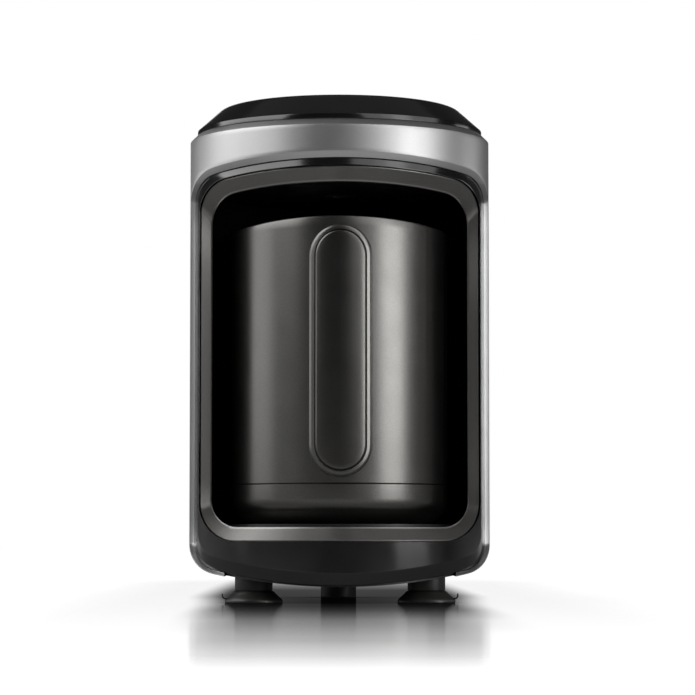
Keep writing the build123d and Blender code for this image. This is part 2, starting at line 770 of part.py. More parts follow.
# ---- base cap of the pot ------------------------------------------------------------------------
cap_solid = filleted_drum(pot_radius, platform_top, seam_z, cap_corner)
cap_core = filleted_drum(pot_inside, platform_top + pot_wall, seam_z + proud,
                         cap_corner - pot_wall)

with BuildPart() as pot_base_cap:
    add(cap_solid)
    add(cap_core, mode=Mode.SUBTRACT)
    round_bar(socket_radius, platform_top, seam_z, mode=Mode.SUBTRACT)
save(pot_base_cap, "pot_base_cap")

with BuildPart() as pot_connector:
    round_bar(socket_radius + socket_wall, platform_top + pot_wall, socket_top)
    round_bar(socket_radius, platform_top, socket_top - socket_wall, mode=Mode.SUBTRACT)
save(pot_connector, "pot_connector")

# ---- steel cup, its gasket and heater -----------------------------------------------------------
cup_solid = filleted_drum(cup_radius, cup_bottom, cup_top, cup_corner)
cup_core = filleted_drum(cup_radius - cup_wall, cup_bottom + cup_wall, cup_top + proud,
                         cup_corner - cup_wall)

with BuildPart() as pot_cup:
    add(cup_solid)
    round_bar(pot_inside - fit, cup_top - cup_wall, cup_top)
    add(cup_core, mode=Mode.SUBTRACT)
save(pot_cup, "pot_cup")

with BuildPart() as pot_gasket:
    round_bar(pot_inside - fit, seat_z, cup_top - cup_wall)
    round_bar(cup_radius + cup_wall, seat_z, cup_top, mode=Mode.SUBTRACT)
save(pot_gasket, "pot_gasket")

with BuildPart() as heater_plate:
    round_bar(cup_radius - heater_inset, cup_bottom - heater_thick, cup_bottom)
save(heater_plate, "heater_plate")

with BuildPart() as thermostat:
    round_bar(thermostat_radius, cup_bottom - heater_thick - thermostat_height,
              cup_bottom - heater_thick)
save(thermostat, "thermostat")

# ---- handle -------------------------------------------------------------------------------------
gap_back = pot_inside - 2 * gap_corner
gap_front = handle_reach - handle_bar


def handle_front(y):
    """Sketch plane facing forwards at a distance in front of the pot axis."""
    return Plane(origin=(0, axis_y - y, handle_middle), x_dir=(1, 0, 0), z_dir=(0, -1, 0))


with BuildPart() as handle_frame:
    with BuildSketch(handle_front(0)):
        SlotOverall(handle_length, handle_width, rotation=90)
    extrude(amount=handle_face)
    fillet(handle_frame.faces().sort_by(Axis.Y)[0].edges(), radius=handle_edge)
    with BuildSketch(side_view):
        with Locations((-(gap_front + gap_back) / 2, handle_middle)):
            RectangleRounded(gap_front - gap_back, handle_length - 2 * handle_arm, gap_corner)
    extrude(amount=handle_width, both=True, mode=Mode.SUBTRACT)
    round_bar(pot_radius + handle_gap, 0, shell_top, mode=Mode.SUBTRACT)
    with BuildSketch(handle_front(handle_face - grip_depth)):
        SlotOverall(handle_length - 2 * grip_margin, handle_width - 2 * grip_margin, rotation=90)
    extrude(amount=handle_reach, mode=Mode.SUBTRACT)
    for height in screw_heights:
        back_pin(screw_radius, 0, height, -pot_inside - screw_length, -pot_radius,
                 mode=Mode.SUBTRACT)
save(handle_frame, "handle_frame")

with BuildPart() as handle_grip:
    with BuildSketch(handle_front(handle_face - grip_depth)):
        SlotOverall(handle_length - 2 * grip_margin - 2 * fit,
                    handle_width - 2 * grip_margin - 2 * fit, rotation=90)
    extrude(amount=grip_depth + grip_crown)
    fillet(handle_grip.faces().sort_by(Axis.Y)[0].edges(), radius=grip_crown)
save(handle_grip, "handle_grip")

with BuildPart() as handle_screws:
    for height in screw_heights:
        head_back = -pot_inside + fit
        back_pin(screw_head_radius, 0, height, head_back, head_back + screw_head)
        back_pin(screw_radius, 0, height, -pot_inside - screw_length, head_back)
save(handle_screws, "handle_screws")

# ---- lid ----------------------------------------------------------------------------------------
lid_solid = lid_block(lid_inset, lid_low, lid_low + lid_edge, lid_inset + lid_bevel, lid_top)
core_knee = lid_low + lid_edge - lid_knee_drop
core_run = lid_bevel * (lid_under - core_knee) / (lid_top - lid_low - lid_edge)
lid_core = lid_block(lid_inset + lid_wall, lid_low, core_knee, lid_inset + lid_wall + core_run,
                     lid_under)

with BuildPart() as top_lid:
    add(lid_solid)
    add(lid_core, mode=Mode.SUBTRACT)
    with BuildSketch(level(shell_top - skirt_height)):
        body_plan(top_lip + fit)
        offset(amount=-skirt_wall, mode=Mode.SUBTRACT)
    extrude(amount=skirt_height + lid_edge)
    with BuildSketch(level(panel_low)):
        head_plan(panel_radius + fit, panel_back - fit)
    extrude(amount=panel_thick, mode=Mode.SUBTRACT)
    for x, y, radius in buttons.values():
        round_bar(radius + key_gap, lid_under, lid_top, x, y, mode=Mode.SUBTRACT)
    for x, y in lights:
        round_bar(light_radius + fit, lid_under, lid_top, x, y, mode=Mode.SUBTRACT)
save(top_lid, "top_lid")

with BuildPart() as control_panel:
    with BuildSketch(level(panel_low)):
        head_plan(panel_radius, panel_back)
        for x, y, radius in buttons.values():
            with Locations((x, y)):
                Circle(radius + key_gap, mode=Mode.SUBTRACT)
        for x, y in lights:
            with Locations((x, y)):
                Circle(light_radius + fit, mode=Mode.SUBTRACT)
    extrude(amount=panel_thick)
save(control_panel, "control_panel")

# ---- push buttons -------------------------------------------------------------------------------
for name, (x, y, radius) in buttons.items():
    with BuildPart() as button:
        round_bar(radius, flange_top, key_top, x, y)
        fillet(button.edges().group_by(Axis.Z)[-1], radius=key_proud)
        round_bar(radius + key_gap + key_flange, flange_top - key_flange_thick, flange_top, x, y)
        round_bar(stem_radius, stem_bottom, flange_top, x, y)
    save(button, name)

# ---- control board and what is on it ------------------------------------------------------------
with BuildPart() as chassis_deck:
    with BuildSketch(level(deck_z)):
        body_plan(deck_inset)
        with Locations((0, deck_hole_y)):
            Circle(deck_hole_radius, mode=Mode.SUBTRACT)
    extrude(amount=deck_thick)
    for x, y in board_screw_places:
        round_bar(board_boss_radius, deck_top, board_low, x, y)
        round_bar(m3_radius, deck_z, board_low, x, y, mode=Mode.SUBTRACT)
    with BuildSketch(level(liner_top)):
        with PolarLocations(bay_radius - pillar_inset, pillar_count, start_angle=pillar_angle):
            Circle(pillar_radius)
    extrude(amount=deck_z - liner_top)
save(chassis_deck, "chassis_deck")

with BuildPart() as control_board:
    with BuildSketch(level(board_low)):
        head_plan(board_radius, board_back)
        for x, y in board_screw_places:
            with Locations((x, y)):
                Circle(m3_radius + fit, mode=Mode.SUBTRACT)
    extrude(amount=board_thick)
save(control_board, "control_board")

with BuildPart() as control_board_screws:
    for x, y in board_screw_places:
        round_bar(m3_head_radius, board_top, board_top + m3_head, x, y)
        round_bar(m3_radius, board_top - m3_length, board_top, x, y)
save(control_board_screws, "control_board_screws")

with BuildPart() as tact_switches:
    for x, y, radius in buttons.values():
        half = switch_size / 2
        block((x - half, x + half), (y - half, y + half), (board_top, board_top + switch_height))
        round_bar(plunger_radius, board_top, switch_top, x, y)
save(tact_switches, "tact_switches")

with BuildPart() as indicator_leds:
    for x, y in lights:
        half = led_size / 2
        block((x - half, x + half), (y - half, y + half), (board_top, board_top + led_height))
save(indicator_leds, "indicator_leds")

with BuildPart() as light_guide:
    rail_low = board_top + led_height + rail_rise
    with BuildSketch(level(rail_low)):
        head_plan(panel_radius - light_inset + rail_half_width, rail_front)
        Circle(panel_radius - light_inset - rail_half_width, mode=Mode.SUBTRACT)
    extrude(amount=rail_thick)
    for x, y in lights:
        round_bar(light_radius, board_top + led_height + fit, lid_top, x, y)
save(light_guide, "light_guide")

with BuildPart() as buzzer:
    round_bar(buzzer_radius, board_top, board_top + buzzer_height, 0, -board_back - buzzer_radius)
save(buzzer, "buzzer")

with BuildPart() as control_chip:
    half = chip_size / 2
    chip_y = -board_back - chip_size
    block((chip_x - half, chip_x + half), (chip_y - half, chip_y + half),
          (board_top, board_top + chip_height))
save(control_chip, "control_chip")

# ---- sensor that watches the foam through the ceiling of the bay --------------------------------
with BuildPart() as sensor_housing:
    round_bar(sensor_radius, bay_ceiling, bay_ceiling + sensor_height)
    round_bar(sensor_radius + sensor_flange, liner_top, liner_top + liner_skin)
    round_bar(lens_radius, bay_ceiling, bay_ceiling + 2 * lens_thick, mode=Mode.SUBTRACT)
save(sensor_housing, "sensor_housing")

with BuildPart() as sensor_lens:
    round_bar(lens_radius - lens_fit, bay_ceiling + lens_thick, bay_ceiling + 2 * lens_thick)
save(sensor_lens, "sensor_lens")
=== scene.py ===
# %% [markdown]
# # An electric Turkish coffee maker, dressed for its portrait
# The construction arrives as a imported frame: every board, screw and moulding at its real size.
# This file makes what the eye meets. Each visible moulding is modelled again as one smooth mesh
# with its real edge radii, laid exactly where the frame says, and every surface gets a finish
# that is worked out by nodes.

# %% Load the frame
import json
from math import asin, atan2, cos, pi, radians, sin, sqrt, tau

import bpy
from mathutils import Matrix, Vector

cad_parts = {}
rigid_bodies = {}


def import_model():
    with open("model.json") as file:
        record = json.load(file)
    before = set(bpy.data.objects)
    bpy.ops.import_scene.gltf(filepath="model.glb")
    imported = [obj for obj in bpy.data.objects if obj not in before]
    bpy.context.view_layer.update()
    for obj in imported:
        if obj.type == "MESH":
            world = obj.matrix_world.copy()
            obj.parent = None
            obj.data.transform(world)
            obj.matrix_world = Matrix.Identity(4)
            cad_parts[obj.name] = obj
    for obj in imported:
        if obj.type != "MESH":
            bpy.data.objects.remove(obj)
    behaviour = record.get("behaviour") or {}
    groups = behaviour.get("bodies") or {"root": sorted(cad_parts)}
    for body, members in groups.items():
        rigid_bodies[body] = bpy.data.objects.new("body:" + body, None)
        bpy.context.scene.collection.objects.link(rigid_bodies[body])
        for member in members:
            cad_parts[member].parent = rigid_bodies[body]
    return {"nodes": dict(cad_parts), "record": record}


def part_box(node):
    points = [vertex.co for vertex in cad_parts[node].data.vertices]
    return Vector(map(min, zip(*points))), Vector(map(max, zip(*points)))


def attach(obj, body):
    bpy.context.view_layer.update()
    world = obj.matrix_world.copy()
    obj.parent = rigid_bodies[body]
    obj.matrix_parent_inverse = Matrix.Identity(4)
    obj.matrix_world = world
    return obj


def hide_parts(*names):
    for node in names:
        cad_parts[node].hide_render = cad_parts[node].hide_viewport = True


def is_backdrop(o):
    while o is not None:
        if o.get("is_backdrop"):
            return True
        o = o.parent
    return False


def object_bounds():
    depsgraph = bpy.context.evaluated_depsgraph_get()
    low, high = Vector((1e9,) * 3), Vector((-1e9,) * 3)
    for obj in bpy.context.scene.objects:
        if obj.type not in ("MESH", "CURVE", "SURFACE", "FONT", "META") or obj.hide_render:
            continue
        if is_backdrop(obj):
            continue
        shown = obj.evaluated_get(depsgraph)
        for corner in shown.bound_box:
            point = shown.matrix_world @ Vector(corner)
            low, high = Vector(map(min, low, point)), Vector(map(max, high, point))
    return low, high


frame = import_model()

for spare in ("Cube", "Light", "Camera"):
    if spare in bpy.data.objects:
        bpy.data.objects.remove(bpy.data.objects[spare])
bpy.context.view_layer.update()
print("frame nodes:", len(frame["nodes"]))

# %% [markdown]
# ## Where things are
# The pot stands on an upright axis, and nearly every outline of the machine is drawn round it:
# the front is a half circle, the sides run straight back, and the back corners are round. The
# frame's own boxes give the radius, the axis and the heights, so nothing here is fitted by hand.

# %% Read the main sizes from the frame
shell_low, shell_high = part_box("outer_shell")
pot_low, pot_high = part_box("pot_body")
cap_low, cap_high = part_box("pot_base_cap")
handle_low, handle_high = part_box("handle_frame")

body_radius = shell_high.x
axis_y = shell_low.y + body_radius
back_reach = shell_high.y - axis_y
shell_top, belly_bottom = shell_high.z, shell_low.z
lid_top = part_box("top_lid")[1].z
pot_radius, pot_foot, pot_top = cap_high.x, pot_low.z, pot_high.z
print(f"body radius {body_radius:.4f} m, axis at y {axis_y:.4f} m, shell top {shell_top:.4f} m")

# %% [markdown]
# ## Working on one piece at a time
# An operator acts on all that is selected, so nearly every step starts by selecting one object and
# nothing else. Merging doubled points closes the seams of a skin, and the normals are then worked
# out again, because a skin made of several sheets can have some of them facing inwards.

# %% Select one piece, and clean its mesh
def alone(piece):
    """Make one object the selected and active one."""
    bpy.ops.object.select_all(action="DESELECT")
    piece.select_set(True)
    bpy.context.view_layer.objects.active = piece


def clean(piece, gap=2e-6):
    """Merge doubled points, drop empty faces and point every normal outwards."""
    alone(piece)
    bpy.ops.object.mode_set(mode="EDIT")
    bpy.ops.mesh.select_all(action="SELECT")
    bpy.ops.mesh.remove_doubles(threshold=gap)
    bpy.ops.mesh.dissolve_degenerate(threshold=gap)
    bpy.ops.mesh.select_all(action="SELECT")
    bpy.ops.mesh.normals_make_consistent(inside=False)
    bpy.ops.object.mode_set(mode="OBJECT")


# %% [markdown]
# ## Rows laid on outlines
# A moulding is a sheet that follows an outline, so the main helper adds a grid of squares and
# lays each of its rows on a list of points. A row can close on itself like a hoop, and the first
# row can meet the last, which makes a closed wall. Modifiers could bend a flat sheet instead, but
# rows on exact outlines keep every edge where the frame has it.

# %% Lay rows of points as a sheet
def lay_rows(name, rows, hoop=True, tube=False):
    """Add a grid and lay its rows on lists of points, which may close across or along."""
    if hoop:
        rows = [row + row[:1] for row in rows]
    if tube:
        rows = rows + rows[:1]
    bpy.ops.object.select_all(action="DESELECT")
    bpy.ops.mesh.primitive_grid_add(x_subdivisions=len(rows[0]) - 1,
                                    y_subdivisions=len(rows) - 1, size=1)
    piece = bpy.context.object
    piece.name = name
    places = [place for row in rows for place in row]
    assert len(places) == len(piece.data.vertices)
    for vertex, place in zip(piece.data.vertices, places):
        vertex.co = place
    clean(piece)
    return piece


# %% [markdown]
# Two more things are done to sheets: several are joined into one skin along their edges, and the
# open end of a tube gets a face. The open rim is found by asking for edges with one face only.

# %% Join sheets, and close open ends
def weld(name, parts, gap=2e-6):
    """Join several sheets into one piece along their shared edges."""
    alone(parts[0])
    for part in parts[1:]:
        part.select_set(True)
    bpy.ops.object.join()
    piece = bpy.context.object
    piece.name = name
    clean(piece, gap)
    return piece


def close_ends(piece):
    """Fill every open rim of a piece with a face, and point the normals outwards again."""
    alone(piece)
    bpy.ops.object.mode_set(mode="EDIT")
    bpy.ops.mesh.select_all(action="DESELECT")
    bpy.ops.mesh.select_mode(type="EDGE")
    bpy.ops.mesh.select_non_manifold(extend=False, use_wire=False, use_multi_face=False,
                                     use_non_contiguous=False, use_verts=False)
    bpy.ops.mesh.edge_face_add()
    bpy.ops.mesh.select_mode(type="VERT")
    bpy.ops.mesh.select_all(action="SELECT")
    bpy.ops.mesh.normals_make_consistent(inside=False)
    bpy.ops.object.mode_set(mode="OBJECT")


# %% [markdown]
# ## Finishing a piece
# Every piece ends the same way. It is shaded smooth, with only the sharper edges left crisp, gets
# its finish, rides on its body, and hides the node of the frame that it stands for.

# %% Apply a modifier, and hand a piece over
def modify(piece, kind, **settings):
    """Add a modifier, set it and apply it."""
    alone(piece)
    modifier = piece.modifiers.new(kind.title(), kind)
    for key, value in settings.items():
        setattr(modifier, key, value)
    bpy.ops.object.modifier_apply(modifier=modifier.name)


def finish_piece(piece, body, node, material, angle=40.0):
    """Smooth a piece, dress it, put it on its body and hide the frame node it stands for."""
    alone(piece)
    bpy.ops.object.shade_smooth_by_angle(angle=radians(angle))
    piece.data.name = piece.name
    piece.data.materials.clear()
    piece.data.materials.append(material)
    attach(piece, body)
    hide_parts(node)
    size = piece.dimensions * 1000
    print(f"{piece.name}: {len(piece.data.polygons)} faces, "
          f"{size.x:.1f} x {size.y:.1f} x {size.z:.1f} mm")


# %% [markdown]
# Two small tools of plain arithmetic serve all that follows: even steps between two values, and
# points along a round edge.

# %% Even steps and round edges
def spread(first, last, count):
    """Evenly spaced values from first to last, both included."""
    return [first + (last - first) * i / (count - 1) for i in range(count)]


def arc_points(centre_r, centre_z, radius, start, end, count):
    """Profile points along a round edge, angles in degrees from the outward direction."""
    return [(centre_r + radius * cos(radians(a)), centre_z + radius * sin(radians(a)))
            for a in spread(start, end, count)]


print("quarter of an edge:", [(round(r, 2), round(z, 2)) for r, z in arc_points(0, 0, 1, 0, 90, 3)])

# %% [markdown]
# ## Finishes
# The machine has few colours, so its life is in how each surface breaks the light. Every
# material starts from a Principled shader. Noise on Object coordinates moves the roughness a
# little, as handling and moulding do, and a finer noise feeds the bump. The grain is written in
# metres, so a fine spark on the pot is really a fifth of a millimetre wide.

# %% A shader with its whole-surface values, and a noise for it
def new_finish(name, colour, rough, metal=0.0, coat=0.0, specular=0.5):
    """A Principled material whose whole-surface values sit on the shader itself."""
    material = bpy.data.materials.new(name)
    material.use_nodes = True
    shader = material.node_tree.nodes["Principled BSDF"]
    shader.inputs["Base Color"].default_value = (*colour, 1.0)
    shader.inputs["Roughness"].default_value = rough
    shader.inputs["Metallic"].default_value = metal
    shader.inputs["Coat Weight"].default_value = coat
    shader.inputs["Coat Roughness"].default_value = 0.05
    shader.inputs["Specular IOR Level"].default_value = specular
    material.diffuse_color = (*colour, 1.0)
    return material


def noise_node(material, scale, detail=3.0, stretch=(1.0, 1.0, 1.0)):
    """A noise on Object coordinates, with its own stretch along each axis."""
    tree = material.node_tree
    place = tree.nodes.new("ShaderNodeTexCoord")
    mapping = tree.nodes.new("ShaderNodeMapping")
    mapping.inputs["Scale"].default_value = stretch
    noise = tree.nodes.new("ShaderNodeTexNoise")
    noise.inputs["Scale"].default_value = scale
    noise.inputs["Detail"].default_value = detail
    tree.links.new(place.outputs["Object"], mapping.inputs["Vector"])
    tree.links.new(mapping.outputs["Vector"], noise.inputs["Vector"])
    return noise.outputs["Fac"]


# %% [markdown]
# A noise can do three jobs. It moves the roughness between two values, it mixes two shades of the
# colour, or it raises a grain. Each job is one small chain of nodes that ends in the shader.

# %% Lead a noise to the roughness, the colour or the bump
def lead(material, socket, fac, kind, output, **values):
    """Add a node between a noise and the shader, with its inputs set by name."""
    tree = material.node_tree
    node = tree.nodes.new(kind)
    for name, value in values.items():
        node.inputs[name.replace("_", " ")].default_value = value
    tree.links.new(fac, node.inputs[{"ShaderNodeMapRange": "Value", "ShaderNodeBump": "Height",
                                     "ShaderNodeValToRGB": "Fac"}[kind]])
    tree.links.new(node.outputs[output], tree.nodes["Principled BSDF"].inputs[socket])
    return node


def vary(material, socket, fac, low, high):
    """Lead a noise into a socket as a value between low and high."""
    lead(material, socket, fac, "ShaderNodeMapRange", "Result",
         From_Min=0.3, From_Max=0.7, To_Min=low, To_Max=high)


def tint(material, fac, first, second):
    """Lead a noise into the base colour as a mix of two colours."""
    ramp = lead(material, "Base Color", fac, "ShaderNodeValToRGB", "Color").color_ramp
    for element, position, colour in zip(ramp.elements, (0.35, 0.65), (first, second)):
        element.position = position
        element.color = (*colour, 1.0)


def grain(material, fac, height, strength=0.3):
    """Lead a noise into the bump, with its height in metres."""
    lead(material, "Normal", fac, "ShaderNodeBump", "Normal", Distance=height, Strength=strength)


# %% [markdown]
# The silver shell is aluminium-look paint over plastic: metal flakes under a thin clear coat.
# The flakes blur reflections into wide soft bands, so the base is metallic and fairly rough.

# %% Silver shell finish
silver = new_finish("silver_shell", (0.50, 0.50, 0.50), 0.42, metal=1.0)
vary(silver, "Roughness", noise_node(silver, 90.0, 4.0), 0.41, 0.44)
tint(silver, noise_node(silver, 2600.0, 2.0), (0.475, 0.475, 0.478), (0.525, 0.525, 0.525))
grain(silver, noise_node(silver, 3200.0, 2.0), 0.00001, 0.25)
print("made", silver.name)

# %% [markdown]
# The lid and the bezel are gloss black plastic. A polished tool leaves them almost a mirror, and
# what keeps them from looking like ink is the faint orange-peel of the moulding.

# %% Gloss black finish
gloss_black = new_finish("gloss_black", (0.004, 0.004, 0.004), 0.15, specular=0.95)
vary(gloss_black, "Roughness", noise_node(gloss_black, 60.0, 4.0), 0.14, 0.17)
tint(gloss_black, noise_node(gloss_black, 30.0, 2.0), (0.003, 0.003, 0.003),
     (0.0055, 0.0055, 0.0053))
grain(gloss_black, noise_node(gloss_black, 240.0, 1.0), 0.000006, 0.2)
print("made", gloss_black.name)

# %% [markdown]
# The pot is painted in a satin charcoal with fine metal flakes. Its highlight is wide and soft,
# and close up it sparkles, which a very fine noise in the colour and the bump gives. The slope
# into the bay wears a lighter and duller mix of the same paint, so it reads as a frame.

# %% Satin charcoal finish, and its lighter mix for the lip
satin_charcoal = new_finish("satin_charcoal", (0.165, 0.162, 0.156), 0.31, metal=1.0)
vary(satin_charcoal, "Roughness", noise_node(satin_charcoal, 70.0, 3.0), 0.30, 0.33)
tint(satin_charcoal, noise_node(satin_charcoal, 3000.0, 2.0), (0.140, 0.137, 0.131),
     (0.180, 0.177, 0.171))
grain(satin_charcoal, noise_node(satin_charcoal, 3600.0, 2.0), 0.000012, 0.3)

lip_satin = new_finish("lip_satin", (0.29, 0.284, 0.276), 0.42, metal=1.0)
vary(lip_satin, "Roughness", noise_node(lip_satin, 80.0, 3.0), 0.40, 0.44)
tint(lip_satin, noise_node(lip_satin, 3000.0, 2.0), (0.265, 0.259, 0.251), (0.315, 0.309, 0.30))
grain(lip_satin, noise_node(lip_satin, 3400.0, 2.0), 0.000012, 0.3)
print("made", satin_charcoal.name, "and", lip_satin.name)

# %% [markdown]
# The handle's grip is smooth and dark with a silky sheen, so its highlights are tighter than the
# pot's. The buttons are a metallic grey lacquer, a shade lighter than the gloss panel round them,
# so that a finger finds them by eye.

# %% Grip, panel and button finishes
grip_black = new_finish("grip_black", (0.125, 0.123, 0.118), 0.29, metal=1.0)
vary(grip_black, "Roughness", noise_node(grip_black, 80.0, 3.0), 0.28, 0.31)
tint(grip_black, noise_node(grip_black, 2600.0, 2.0), (0.115, 0.113, 0.108),
     (0.135, 0.133, 0.128))
grain(grip_black, noise_node(grip_black, 900.0, 2.0), 0.000006, 0.2)

panel_black = new_finish("panel_black", (0.008, 0.008, 0.009), 0.08, coat=0.4)
vary(panel_black, "Roughness", noise_node(panel_black, 50.0, 3.0), 0.06, 0.11)
tint(panel_black, noise_node(panel_black, 20.0, 2.0), (0.007, 0.007, 0.008),
     (0.010, 0.010, 0.011))

button_grey = new_finish("button_grey", (0.085, 0.085, 0.087), 0.34, metal=0.5)
vary(button_grey, "Roughness", noise_node(button_grey, 300.0, 3.0), 0.30, 0.40)
tint(button_grey, noise_node(button_grey, 2400.0, 2.0), (0.075, 0.075, 0.077),
     (0.095, 0.095, 0.097))
grain(button_grey, noise_node(button_grey, 2400.0, 2.0), 0.00001, 0.3)
print("made", grip_black.name, panel_black.name, button_grey.name)

# %% [markdown]
# The plain mouldings at the back and below are spark-eroded black plastic, with a matt leathery
# grain. The inside of the bay is the same plastic, but it gets a far darker colour and almost no
# gloss: painted shade that keeps it black whatever the room does.

# %% Plain plastic finishes
plain_black = new_finish("plain_black", (0.012, 0.012, 0.012), 0.42)
vary(plain_black, "Roughness", noise_node(plain_black, 120.0, 3.0), 0.38, 0.5)
tint(plain_black, noise_node(plain_black, 400.0, 3.0), (0.010, 0.010, 0.010),
     (0.016, 0.016, 0.0155))
grain(plain_black, noise_node(plain_black, 1500.0, 3.0), 0.00003, 0.35)

# Painted shade: the bay's inside is the same plastic, painted ten times darker and nearly without
# gloss.
bay_black = new_finish("bay_black", (0.0012, 0.0012, 0.0012), 0.62, specular=0.12)
vary(bay_black, "Roughness", noise_node(bay_black, 90.0, 3.0), 0.58, 0.7)
tint(bay_black, noise_node(bay_black, 300.0, 2.0), (0.0009, 0.0009, 0.0009),
     (0.0016, 0.0016, 0.0016))
grain(bay_black, noise_node(bay_black, 1400.0, 3.0), 0.00002, 0.3)
print("made", plain_black.name, "and", bay_black.name)

# %% [markdown]
# The feet are rubber: soft, nearly black and slightly dusty. The cup inside the pot is brushed
# steel, and stretching its noise along the height turns round specks into fine hoops.

# %% Rubber and steel
rubber = new_finish("black_rubber", (0.010, 0.010, 0.0095), 0.38)
vary(rubber, "Roughness", noise_node(rubber, 150.0, 4.0), 0.32, 0.5)
tint(rubber, noise_node(rubber, 60.0, 3.0), (0.008, 0.008, 0.0075), (0.016, 0.0155, 0.014))
grain(rubber, noise_node(rubber, 900.0, 3.0), 0.00003, 0.3)

steel = new_finish("steel", (0.56, 0.56, 0.55), 0.24, metal=1.0)
vary(steel, "Roughness", noise_node(steel, 120.0, 4.0, (1.0, 1.0, 18.0)), 0.18, 0.34)
tint(steel, noise_node(steel, 40.0, 2.0), (0.53, 0.53, 0.52), (0.59, 0.59, 0.58))
grain(steel, noise_node(steel, 300.0, 2.0, (1.0, 1.0, 30.0)), 0.000008, 0.3)
print("made", rubber.name, "and", steel.name)

# %% [markdown]
# The small parts on the boards can be seen through the vents and from below, so each gets a plain
# finish of its own. One function makes them all from a colour and a roughness.

# %% Finishes of the small parts
def small_finish(name, colour, rough, metal=0.0, fine=900.0):
    """Finish of a small part: its colour moves a little either way, with a fine grain."""
    material = new_finish(name, colour, rough, metal)
    dark = tuple(channel * 0.85 for channel in colour)
    light = tuple(min(1.0, channel * 1.15) for channel in colour)
    tint(material, noise_node(material, fine, 2.0), dark, light)
    vary(material, "Roughness", noise_node(material, fine / 3, 3.0), rough * 0.9, rough * 1.15)
    grain(material, noise_node(material, 2 * fine, 2.0), 0.00001, 0.3)
    return material


small = [("cast_aluminium", (0.42, 0.42, 0.42), 0.45, 1.0),
         ("zinc_screw", (0.16, 0.16, 0.165), 0.32, 1.0),
         ("silicone", (0.32, 0.32, 0.31), 0.55),
         ("board_green", (0.01, 0.09, 0.03), 0.35, 0.0, 500.0),
         ("component_black", (0.015, 0.015, 0.015), 0.45),
         ("component_blue", (0.02, 0.06, 0.22), 0.4),
         ("terminal_green", (0.03, 0.22, 0.07), 0.45),
         ("contact_brass", (0.62, 0.43, 0.17), 0.28, 1.0),
         ("led_white", (0.72, 0.72, 0.68), 0.4),
         ("clear_plastic", (0.62, 0.64, 0.66), 0.15)]
finishes = {"silver_shell": silver, "gloss_black": gloss_black, "satin_charcoal": satin_charcoal,
            "black_plastic": plain_black, "bay_black": bay_black, "panel_black": panel_black,
            "button_grey": button_grey, "steel": steel, "black_rubber": rubber}
finishes.update({values[0]: small_finish(*values) for values in small})
print("finishes:", len(finishes))

# %% [markdown]
# ## Dress the frame's own nodes
# Boards, screws and the parts between them have the right shape already, so they keep their
# solids. The record says which slot each node takes its finish from, and a loop hands them out.

# %% Give each frame node the finish of its slot
for row in frame["record"]["subparts"]:
    part = frame["nodes"][row["node"]]
    part.data.materials.clear()
    part.data.materials.append(finishes[row["material_slot"]])

# %% [markdown]
# ## Outlines of the front
# Seen from the front, the window in the silver shell, the mouth of the bay and its narrow throat
# are frames of one family: a shallow arched head, round corners, straight sides and a foot that
# is flat or follows the belly. All are drawn with the same number of points, so any two of them
# can be joined point by point. The belly is a long arc that climbs a centimetre to the sides.

# %% The belly, and a foot that follows it
belly_rise, belly_corner = 0.010, 0.017
head_points, corner_points, side_points, foot_points = 24, 13, 16, 20
pan_edge = 0.05895     # the base pan takes over from the shell here
pan_points = 5


def belly(inset):
    """Lowest point and arc radius of the belly, for a body drawn inset."""
    return belly_bottom + inset, (body_radius - inset)**2 / (2 * belly_rise) + belly_rise / 2


def corner_arc(centre_x, centre_z, radius, start, end):
    """Points round a corner without its two ends; angles in radians."""
    return [(centre_x + radius * cos(a), centre_z + radius * sin(a))
            for a in spread(start, end, corner_points + 2)[1:-1]]


def foot_line(half, lower, low, arc, end, count):
    """Round lower corner, then the foot in as far as end. Returns the corner's height first."""
    side = half - lower
    if arc:
        middle = low + arc
        height = middle - sqrt((arc - lower)**2 - side**2)
        turn, last = atan2(height - middle, side), side * arc / (arc - lower)
    else:
        middle, height, turn, last = low, low + lower, -pi / 2, side
    points = corner_arc(side, height, lower, 0.0, turn)
    points += [(x, middle - sqrt(arc**2 - x**2) if arc else low) for x in spread(last, end, count)]
    return height, points


print("belly's arc radius (m):", round(belly(0.0)[1], 3))

# %% [markdown]
# The head of every opening is an arc of half a metre's radius, which looks nearly straight until
# it is set beside a ruler. Only the right half is drawn: the left is its mirror image, so the two
# sides can't differ.

# %% Draw an opening as seen from the front
arch_radius = 0.500


def opening(half, high, upper, lower, low, arc=0.0, end=0.0, count=foot_points):
    """Right half of an opening, from the middle of its head to its foot at x = end."""
    middle = high - arch_radius
    side = half - upper
    height = middle + sqrt((arch_radius - upper)**2 - side**2)
    last = side * arch_radius / (arch_radius - upper)
    points = [(x, middle + sqrt(arch_radius**2 - x**2)) for x in spread(0.0, last, head_points)]
    points += corner_arc(side, height, upper, atan2(height - middle, side), 0.0)
    foot_height, foot = foot_line(half, lower, low, arc, end, count)
    return points + [(half, z) for z in spread(height, foot_height, side_points)] + foot


# %% [markdown]
# The outlines are flat, and the front is round. Laying a point on an upright cylinder gives it its
# depth, and the mirrored half then closes the row to a hoop, or leaves it open as a strap.

# %% From flat outlines to rows in space
def on_round(points, radius, nearest=0.0):
    """Lay right-half points on an upright cylinder round the axis."""
    return [(x, axis_y - max(sqrt(max(radius**2 - x**2, 0.0)), nearest), z) for x, z in points]


def mirrored(points):
    """The same points on the left, in the same order."""
    return [(-x, y, z) for x, y, z in points]


def ring(points):
    """Right half, then left half back to the start: a closed hoop."""
    return points + mirrored(points[-2:0:-1])


def strap(points):
    """From the left end over the head to the right end: an open row."""
    return mirrored(points[:0:-1]) + points


def mix(first, second, share):
    """Point by point mix of two rows."""
    return [tuple(a + (b - a) * share for a, b in zip(p, q)) for p, q in zip(first, second)]


def set_back(row, depth):
    """The same row, moved straight back."""
    return [(x, y + depth, z) for x, y, z in row]


